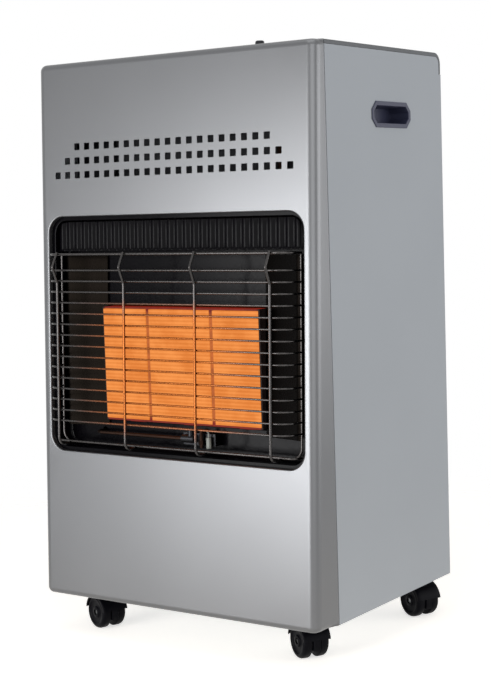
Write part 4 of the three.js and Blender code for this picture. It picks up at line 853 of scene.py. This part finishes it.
def control_tray():
    """Rings by (inset, height) over the rounded rim and down the walls, and a floor with two holes."""
    top = HEIGHT + GAP
    section = [(0, top), (0, top + 1.0), (0.25, top + 1.4), (0.7, top + 1.6), (5.6, top + 1.6),
               (6.1, top + 1.4), (6.4, top + 1.0), (6.6, CONTROL_FLOOR + 1.8), (7.1, CONTROL_FLOOR + 0.5),
               (FLOOR_INSET, CONTROL_FLOOR)]
    walls = rings([control_ring(inset, z) for inset, z in section])
    floor_loop = control_ring(FLOOR_INSET, CONTROL_FLOOR)[:, :2]
    holes = [circle(SPINDLE_HOLE, KNOB_X, CONTROL["y"]), circle(BUTTON_HOLE, BUTTON_X, CONTROL["y"])]
    base = sheet(floor_loop, holes, lambda p: level(p, CONTROL_FLOOR))
    make_piece("control_tray", [walls, base], black_abs, "cabinet", ["control_panel"],
               outside=(0, 0, 1), thickness=1.2, bevel=0.2)


control_tray()
print("control panel floor at", CONTROL_FLOOR, "mm")

# %% [markdown]
# The knob is a turned skirt with fine flutes and a raised grip bar across it, which shows as a small
# bump over the lid in the photograph. The flutes could be cut one by one, but a wave of the radius makes
# them all at once. The grip's outline is stacked upwards and drawn in at its top.

# %% Knob and button
KNOB_TURN = 35.0
KNOB_BASE, KNOB_TOP = CONTROL_FLOOR + 5.0, HEIGHT + 9.8
FLUTES, FLUTE_DEPTH, FLUTED_FROM = 36, 0.012, 18  # depth as a share of the radius, and least radius
GRIP_WIDTH, GRIP_LENGTH, GRIP_CORNER = 11.5, 36, 4.75
BUTTON_LOW, BUTTON_TOP = CONTROL_FLOOR - 2.0, HEIGHT + 5.0


def knob():
    """A turned skirt whose outer radius is waved by a cosine of the angle as flutes, a grip of stacked
    outlines by (inset, height), and a pale pointer on it. All are turned to where the knob points."""
    base, top = KNOB_BASE, KNOB_TOP
    profile = [(0, base + 9.5), (4.4, base + 9.5), (4.4, base), (18.8, base), (20, base + 1),
               (20, base + 5.6), (19.2, base + 6.8), (14, base + 7.4), (12.6, base + 8.4),
               (12.4, base + 10.2), (11.6, base + 11), (0, base + 11)]
    skirt = turned(profile, 4 * FLUTES,
                   lambda r, a: 1 - FLUTE_DEPTH * (r > FLUTED_FROM) * (1 + np.cos(FLUTES * a)) / 2)
    section = [(0.0, base + 5), (0.0, base + 9), (0.3, top - 2.0), (0.7, top - 0.9), (1.4, top - 0.3),
               (2.4, top)]
    bar = [level(rounded_outline(GRIP_WIDTH - 2 * i, GRIP_LENGTH - 2 * i, GRIP_CORNER - i, 8), z)
           for i, z in section]
    grip = rings(bar, cap_first=True, cap_last=True)
    place = lambda part: (at_place(part[0], KNOB_TURN, KNOB_X, CONTROL["y"]), part[1])
    make_piece("knob_body", [place(skirt), place(grip)], black_abs, "knob", ["control_knob"])
    mark = [level(rounded_outline(1.4, 10 - 2 * i, 0.6, 4, (0, 10.5)), z)
            for i, z in ((0, top - 0.4), (0, top + 0.1), (0.2, top + 0.2))]
    make_piece("knob_pointer", [place(rings(mark, True, True))], porcelain, "knob")


def button():
    """A turned cap with an eased edge and a shallow dish for the finger."""
    low, high = BUTTON_LOW, BUTTON_TOP
    profile = [(0, low), (6.6, low), (7, low + 0.4), (7, high - 1.6), (6.7, high - 0.7), (6.0, high - 0.1),
               (5.2, high), (4.2, high - 0.25), (2.5, high - 0.7), (0, high - 0.9)]
    points, faces = turned(profile, 40)
    make_piece("button_cap", [(points + [BUTTON_X, CONTROL["y"], 0], faces)], black_abs,
               "igniter_button", ["igniter_button"])


knob()
button()

# %% [markdown]
# Each side has a moulded grip: an eight-sided cup with a flange that covers the cut edge of the sheet.
# A cup and a frame could be made apart and joined. Instead the same octagon is drawn in step by step,
# first over the flange and then down into the cup, which leaves no seam between them.

# %% Handle cups
CUP_WIDTH, CUP_HEIGHT, CUP_CHAMFER, CUP_PLACE = 95, 31.5, 10, (201, 600)
CHAMFER_LOSS = 0.586  # how much shorter the chamfer gets for each mm of inset, 2 minus the root of 2
SIDES = ((-1, "left"), (1, "right"))


def handle(side, name):
    """Octagons by (inset, distance from the cabinet's middle), closed at the bottom of the cup."""
    section = [(0.0, HALF + GAP), (0.0, HALF + 0.9), (0.5, HALF + 1.4), (4.4, HALF + 1.4),
               (5.0, HALF + 1.1), (5.4, HALF + 0.4), (5.7, 198), (6.2, 187.5), (6.8, 185.6), (8.6, 184.8)]
    loops = []
    for inset, x in section:
        flat = octagon(CUP_WIDTH - 2 * inset, CUP_HEIGHT - 2 * inset, CUP_CHAMFER - CHAMFER_LOSS * inset,
                       CUP_PLACE)
        loops.append(np.column_stack([np.full(8, side * x), flat]))
    make_piece("grip_" + name, [rings(loops, cap_last=True)], handle_plastic, "cabinet",
               ["handle_" + name], outside=(side, 0, 0), thickness=1.2, bevel=0.4,
               smooth=30)


for side, name in SIDES:
    handle(side, name)

# %% [markdown]
# Behind the window sits a black enamelled tray, deep drawn, so the edge round its bottom is round. Like
# the control panel it is rings of one outline, over the flange and down the walls, and its back is a
# sheet cut open for the plaques and for the thin pipe to the pilot.

# %% Burner surround
TRAY = dict(width=378, height=289.5, radius=17)
TRAY_BACK, BACK_INSET = 32.4, 4  # depth of the tray's back, and how far inside the outline it begins
BURNER_HALF = 121.0
OPENING_HEIGHT, OPENING_MIDDLE = 148, 303
PIPE_HOLE, PIPE_OUT, PIPE_HEIGHT = 4.2, 9.6, 215.7  # radius, distance from the burner, and height


def tray_outline(inset, steps=10):
    """The tray's outline made smaller by an inset."""
    return rounded_outline(TRAY["width"] - 2 * inset, TRAY["height"] - 2 * inset,
                           TRAY["radius"] - inset, steps, (0, WINDOW["z"]))


def surround():
    """Rings by (inset, depth) over the flange and along the walls, and the back with its two holes, all
    tipped with the front."""
    section = [(-13.5, 7.5), (-1.2, 7.5), (-0.4, 7.8), (0, 8.6), (0, 28.4), (0.6, 30.4), (1.8, 31.8),
               (BACK_INSET, TRAY_BACK)]
    walls = rings([tipped(upright(tray_outline(inset), depth)) for inset, depth in section])
    opening = rounded_outline(2 * BURNER_HALF + 2, OPENING_HEIGHT, 2, 3, (0, OPENING_MIDDLE))
    pipe = circle(PIPE_HOLE, -BURNER_HALF - PIPE_OUT, PIPE_HEIGHT, 16)
    back = sheet(tray_outline(BACK_INSET), [opening, pipe], lambda p: tipped(upright(p, TRAY_BACK)))
    make_piece("surround_tub", [walls, back], black_enamel, "cabinet", ["burner_surround"],
               outside=(0, -1, 0), thickness=0.9)


surround()

# %% [markdown]
# Across the top of the window hangs a corrugated hood. One rib could be repeated with an Array modifier,
# but the ribs at both ends are cut to the tray's rounded corners. So it is a single sheet whose depth is
# a rounded wave of the distance along it, with a plain hem below.

# %% Ribbed hood
RIBS, RIB_PITCH, RIB_DEPTH, RIB_EDGE = 30, 12.4, 1.45, 1.6
HOOD_LOW, HOOD_HIGH, HOOD_DEPTH = 445.0, 482.0, 10.6
HOOD_STRAIGHT, HOOD_CORNER = 171.5, 15  # half the straight part of the top, and the corner's radius
HEM, HEM_EASE = 0.02, 0.08  # shares of the height that the hem and the start of the ribs take


def ribbed_hood():
    """Depth is a cosine of x, pushed towards a square wave by tanh; it eases in over the hem. The height
    runs from the hem to the tray's rounded corner, which is a quarter circle."""
    half = RIBS * RIB_PITCH / 2
    x = np.linspace(-half, half, RIBS * 12 + 1)
    wave = np.tanh(RIB_EDGE * np.cos(2 * math.pi * (x + half) / RIB_PITCH)) / math.tanh(RIB_EDGE)
    over = np.clip(np.abs(x) - HOOD_STRAIGHT, 0, HOOD_CORNER)
    high = HOOD_HIGH - (HOOD_CORNER - np.sqrt(HOOD_CORNER ** 2 - over ** 2))
    t = np.array([0, 0.02, 0.05, 0.1, 0.4, 0.7, 1.0])[:, None]
    z = HOOD_LOW + t * (high - HOOD_LOW)
    depth = HOOD_DEPTH + RIB_DEPTH * wave * np.clip((t - HEM) / HEM_EASE, 0, 1)
    grid = np.stack([np.broadcast_to(x, z.shape), depth, z], -1)
    quads = grid_faces(*z.shape).tolist()
    make_piece("hood_sheet", [(tipped(grid), quads)], black_enamel, "cabinet", ["burner_hood"],
               outside=(0, -1, 0), thickness=0.8, smooth=60)


ribbed_hood()

# %% [markdown]
# Steel reflectors stand beside the plaques and throw their heat forwards. Each is a plate with a slight
# hollow, and a narrow fold along its outer edge. A flat plate would do for the shape, but the hollow
# draws what it mirrors into an upright band. Their colour is painted near black as painted shade, for the
# dark interior that they mirror, so the band is only faint.

# %% Reflectors
PLATE_NEAR, PLATE_FAR = 121.4, 172  # from the burner's edge to where the fold begins
PLATE_DEPTH, PLATE_RISE, PLATE_CURVE = 29.8, 12.6, 1.25
PLATE_FOLD = ((174.5, 16.4), (179.4, 16.1))  # distance from the middle and depth
PLATE_LOW, PLATE_HIGH = 222, 439


def reflector(side, name):
    """The depth is that at the burner less a rise, which grows as a power of the way across."""
    fold_x, fold_depth = zip(*PLATE_FOLD)
    across = np.linspace(PLATE_NEAR, PLATE_FAR, 14)
    share = (across - PLATE_NEAR) / (PLATE_FAR - PLATE_NEAR)
    depth = np.append(PLATE_DEPTH - PLATE_RISE * share ** PLATE_CURVE, fold_depth)
    z = np.linspace(PLATE_LOW, PLATE_HIGH, 12)[:, None]
    grid = np.stack(np.broadcast_arrays(side * np.append(across, fold_x), depth, z), -1)
    quads = grid_faces(*grid.shape[:2]).tolist()
    make_piece("reflector_plate_" + name, [(tipped(grid), quads)], reflector_painted_shade, "cabinet",
               ["reflector_" + name], outside=(0, -1, 0), thickness=1.1)


for side, name in SIDES:
    reflector(side, name)

# %% [markdown]
# Three ceramic plaques fill the opening. Their faces are pressed with shallow cups in staggered rows.
# These could be a bump in the material, but as real depth they also show in the exported shape. The face
# is a grid of depth worked out from two crossed waves, folded back at its border as the edges.

# %% Plaques
PLAQUES = (("left", -85.1, 67), ("centre", 0, 92), ("right", 85.1, 67))  # place across, and width
PLAQUE_LOW, PLAQUE_HIGH, PLAQUE_THICK = 232.0, 371.0, 11.8
CUP_DEPTH, CUP_LIFT, PLAIN_RIM = 0.45, 0.15, 3  # the cups, what lies before them, and the rim without
GRID_STEP, GRID_ROWS = 1.15, 122


def plaque(name, centre, width):
    """Depth is a product of waves along and up the face, staggered by half a pitch every row. It eases
    to nought towards the rim."""
    x = np.linspace(centre - width / 2, centre + width / 2, int(width / GRID_STEP) + 1)
    z = np.linspace(PLAQUE_LOW, PLAQUE_HIGH, GRID_ROWS)
    gx, gz = np.meshgrid(x, z)
    wave = np.cos(2 * math.pi * gx / (2 * GLOW_PITCH)) * np.cos(2 * math.pi * gz / (2 * GLOW_PITCH))
    rim = np.minimum(np.minimum(gx - x[0], x[-1] - gx), np.minimum(gz - z[0], z[-1] - gz))
    depth = PLAQUE_FACE + CUP_LIFT + CUP_DEPTH * (0.5 + 0.5 * wave) * np.clip(rim / PLAIN_RIM, 0, 1)
    face = np.stack([gx, depth, gz], -1)
    back = border(face)
    back[:, 1] = PLAQUE_FACE + PLAQUE_THICK
    walls = rings([border(face), back], cap_last=True)
    make_piece("glow_" + name, [(face, grid_faces(*gx.shape).tolist()), walls], ceramic, "cabinet",
               ["plaque_" + name], smooth=60)


for name, centre, width in PLAQUES:
    plaque(name, centre, width)

# %% [markdown]
# The guard is welded from round wire: bars across that bend back at both ends, four uprights that kink
# out over the top bar, and a loop at the back that it all hangs on. Curves with a round bevel could make
# the wires too. Here each wire is a circle carried along its bent line, so that all of them are one mesh
# that leans back with the front.

# %% Wire guard
GUARD_HALF, GUARD_BOW, GUARD_REAR = 183.0, 19.0, 12.0
GUARD_TOP, GUARD_LOW, LOOP_LOW = 441.0, 203.0, 200.5
BAR_TOP, BAR_PITCH, BARS = 421.0, 13.57, 15
BAR, TOP_WIRE, LOW_WIRE, LOOP_WIRE, UPRIGHT = 1.2, 1.6, 1.4, 1.5, 1.7  # radii of the wires
UPRIGHTS, UPRIGHT_BOW, KINK = (-161.5, -54, 54, 161.5), 21.5, 9.0


def cross_wire(z, bow, radius, turn):
    """Straight across at a distance before the front, and bent back at both ends by a turn's radius."""
    corners = [(-GUARD_HALF, GUARD_REAR, z), (-GUARD_HALF, -bow, z), (GUARD_HALF, -bow, z),
               (GUARD_HALF, GUARD_REAR, z)]
    return tube(filleted(corners, [turn, turn], 10), radius, (0, 0, 1))


def guard_upright(x):
    """Forwards from the loop, up before the bars, out over the topmost one and back to the top wire."""
    corners = [(x, GUARD_REAR, LOOP_LOW), (x, -UPRIGHT_BOW, LOOP_LOW),
               (x, -UPRIGHT_BOW, BAR_TOP - BAR_PITCH - 2), (x, -UPRIGHT_BOW - KINK, BAR_TOP + 4),
               (x, -UPRIGHT_BOW, GUARD_TOP + 2)]
    return tube(filleted(corners, [KINK, 10, 2.2], 8), UPRIGHT, (1, 0, 0))


def guard():
    """The loop, the top and bottom wires, the bars at equal steps downwards, and the uprights."""
    loop = filleted([(-GUARD_HALF, GUARD_REAR, GUARD_TOP), (-GUARD_HALF, GUARD_REAR, LOOP_LOW),
                     (GUARD_HALF, GUARD_REAR, LOOP_LOW), (GUARD_HALF, GUARD_REAR, GUARD_TOP)], [14, 14])
    wires = [tube(loop, LOOP_WIRE, (0, 1, 0)), cross_wire(GUARD_TOP, GUARD_BOW, TOP_WIRE, 18),
             cross_wire(GUARD_LOW, 1.5, LOW_WIRE, 9)]
    wires += [cross_wire(BAR_TOP - i * BAR_PITCH, GUARD_BOW, BAR, 18) for i in range(BARS)]
    wires += [guard_upright(x) for x in UPRIGHTS]
    make_piece("guard_wires", [(tipped(p), f) for p, f in wires], plated_wire, "cabinet", ["wire_guard"],
               smooth=60)


guard()

# %% [markdown]
# The rear cover is a lift-off sheet with two groups of air slots and a hole to grip it by, held by
# small screws with crossed recesses. It is cut like the front. A screw's cross could be cut with a
# boolean, but at this size a dip in the dome's grid is enough.

# %% Rear cover
COVER_FACE = 332.6
COVER_WIDTH, COVER_HEIGHT, COVER_MIDDLE = 416.8, 645.4, 331.9
SLOT_WIDTH, SLOT_HEIGHT, SLOT_CORNER, SLOT_PITCH, SLOT_ROWS = 70, 6, 2.9, 18, 6
SLOT_GROUPS, SLOT_COLUMNS = (60, 440), (-110, 0, 110)  # height of each group's lowest edge, and places
SCREW_RADIUS, SCREW_LIFT, SCREW_DOME = 3.3, 0.36, 0.3
CROSS_HALF, CROSS_REACH, CROSS_DEPTH = 0.5, 1.9, 0.8
SCREWS = [(x, z) for x in (-196, 196) for z in (40, 330, 640)]


def rear_cover():
    """One sheet with the hole for the grip, and the slots of each group at equal steps upwards."""
    outline = rounded_outline(COVER_WIDTH, COVER_HEIGHT, 3, 3, (0, COVER_MIDDLE))
    holes = [rounded_outline(90, 24, 10, 6, (0, 598))]
    for low in SLOT_GROUPS:
        for row in range(SLOT_ROWS):
            middle = low + SLOT_PITCH * row + SLOT_HEIGHT / 2
            holes += [rounded_outline(SLOT_WIDTH, SLOT_HEIGHT, SLOT_CORNER, 4, (x, middle))
                      for x in SLOT_COLUMNS]
    part = sheet(outline, holes, lambda p: upright(p, COVER_FACE))
    make_piece("cover_sheet", [part], powder_coat, "rear_cover", ["rear_cover"],
               outside=(0, 1, 0), thickness=1.4, bevel=0.3)


def screw(x, z):
    """A dome that falls by the fourth power of the radius, less a dip where either arm is near."""
    r = np.array([0, 0.5, 1.0, 1.5, 2.0, 2.6, 3.1, SCREW_RADIUS])[:, None]
    a = np.linspace(0, 2 * math.pi, 32, endpoint=False)
    px, pz = r * np.cos(a), r * np.sin(a)
    arm = np.minimum(np.abs(px), np.abs(pz)) < CROSS_HALF
    dip = CROSS_DEPTH * (arm & (r < CROSS_REACH))
    y = COVER_FACE + SCREW_LIFT - SCREW_DOME * (r / SCREW_RADIUS) ** 4 - dip
    return rings(np.stack([x + px, y + 0 * px, z + pz], -1))


rear_cover()
make_piece("cover_screws", [screw(x, z) for x, z in SCREWS], bright_steel, "rear_cover",
           outside=(0, 1, 0), smooth=50)

# %% [markdown]
# Four twin-wheel casters carry the heater. A wheel is a turned section with a rounded shoulder and a
# dished face, as a Screw modifier could make it too. The swivelling body is a curved hood over both
# wheels, a web between them and a collar that turns on the pin. Every caster has the same shape, turned
# by its own swivel angle before it is put in place, because a finished piece's object stays unturned.

# %% Casters
AXLE_Z, TRAIL = -29.5, 16.0  # height of the axle, and how far it lies behind the pin
ARCH_RADIUS, ARCH_WALL, ARCH_LOW = 24.4, 1.6, 4  # the hood, and how far over the axle it ends
WEB_RADIUS, WEB_LOW = 23.2, -9.8
CASTERS = {"front_left": (-168, 61, -20), "front_right": (168, 61, 148),
           "rear_right": (168, 303, -25), "rear_left": (-168, 303, 205)}  # place, and swivel in degrees


def wheel(side):
    """A closed section of (radius, distance from the web) turned about the axle."""
    section = [(3.9, 5.7), (20.6, 5.7), (21.3, 6.0), (21.5, 6.8), (21.5, 12.6), (21.2, 14.2),
               (20.3, 15.8), (18.9, 16.9), (17.4, 17.2), (16.2, 17.0), (15.6, 16.2), (14.6, 15.4),
               (8.6, 15.0), (7.6, 15.5), (7.2, 16.6), (6.6, 17.1), (3.9, 17.2), (3.9, 5.7)]
    points, faces = turned(section, 56)
    return np.stack([TRAIL + points[:, 0], side * points[:, 2], AXLE_Z + points[:, 1]], -1), faces


def arch(y, radius, a):
    """A circle about the axle at each distance y from the web, in the order of the angles a."""
    return np.stack(np.broadcast_arrays(TRAIL + radius * np.cos(a), y, AXLE_Z + radius * np.sin(a)), -1)


def caster_shell(steps=32):
    """The hood: radius about the axle dips at both sides of its width, and the inner skin is smaller by
    the wall. Their borders are joined."""
    y = np.array([-18.2, -18.0, -17.2, -15.6, -12, 0, 12, 15.6, 17.2, 18.0, 18.2])
    radius = ARCH_RADIUS - np.array([2.2, 1.2, 0.5, 0.15, 0, 0, 0, 0.15, 0.5, 1.2, 2.2])
    low = math.asin(ARCH_LOW / ARCH_RADIUS)
    a = np.linspace(low, math.pi - low, steps + 1)[:, None]
    outer, inner = arch(y, radius, a), arch(y * 0.985, radius - ARCH_WALL, a)
    faces = grid_faces(steps + 1, len(y)).tolist()
    return [(outer, faces), (inner, [f[::-1] for f in faces]), rings([border(outer), border(inner)])]


def caster_web(steps=35):
    """A disc between the wheels, cut off below, with both of its edges eased."""
    a = np.linspace(math.radians(-25), math.radians(205), steps + 1)
    loops = []
    for y, inset in ((-4.7, 0.7), (-4.1, 0.0), (4.1, 0.0), (4.7, 0.7)):
        loop = arch(y, WEB_RADIUS - inset, a)
        loop[:, 2] = np.maximum(loop[:, 2], AXLE_Z + (WEB_LOW + inset))
        loops.append(loop)
    return rings(loops, cap_first=True, cap_last=True)


def caster(place):
    """The hood, web and collar as one piece, and the two wheels, all turned by the caster's swivel."""
    x, y, turn = CASTERS[place]
    put = lambda part: (at_place(part[0], turn, x, y), part[1])
    collar = turned([(3.2, AXLE_Z + 14), (9.4, AXLE_Z + 14), (9.2, AXLE_Z + 24.5), (8.2, AXLE_Z + 26),
                     (8.0, AXLE_Z + 28), (8.0, 4.6), (7.2, 5.4), (3.2, 5.4), (3.2, AXLE_Z + 14)], 40)
    name = "caster_" + place
    make_piece(name + "_hood", [put(p) for p in [*caster_shell(), caster_web(), collar]], caster_nylon,
               name, [name + "_body"], smooth=40)
    for letter, side in (("a", 1), ("b", -1)):
        make_piece(name + "_tyre_" + letter, [put(wheel(side))], caster_nylon, name + "_wheel_" + letter,
                   [name + "_wheel_" + letter], smooth=40)


for place in CASTERS:
    caster(place)
print("casters:", len(CASTERS))

# %% [markdown]
# The remaining CAD solids keep their shape, which is right as it is, and get the finish of the real
# piece, except that the partition is black as painted shade and the burner's steel has a painted glow.
# A table says which finish goes where.

# %% Finishes of the CAD solids
FINISHES = {
    "side_panel": powder_coat, "base_tray": galvanised, "burner_partition": partition_painted_shade,
    "rear_top_rail": galvanised, "cylinder_retainer": galvanised, "burner_": burner_steel_glow_painted,
    "gas_rail": bright_steel, "injector": brass, "pilot_burner": blued_steel, "thermocouple": copper,
    "spark_electrode": porcelain, "valve_spindle": bright_steel, "piezo_igniter": black_abs,
    "gas_valve": cast_metal, "hose_tail": brass, "feed_pipe": copper, "pilot_pipe": copper,
    "caster": bright_steel,
}


def finish_of(name):
    """The finish whose key is the longest that the name starts with, or none."""
    keys = [key for key in FINISHES if name.startswith(key)]
    return FINISHES[max(keys, key=len)] if keys else None


dressed = 0
for name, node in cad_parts.items():
    finish = finish_of(name)
    if finish is None:
        continue
    for place in node.material_slots:
        place.material = finish
    if not node.material_slots:
        node.data.materials.append(finish)
    dressed += 1
print("CAD solids dressed:", dressed)
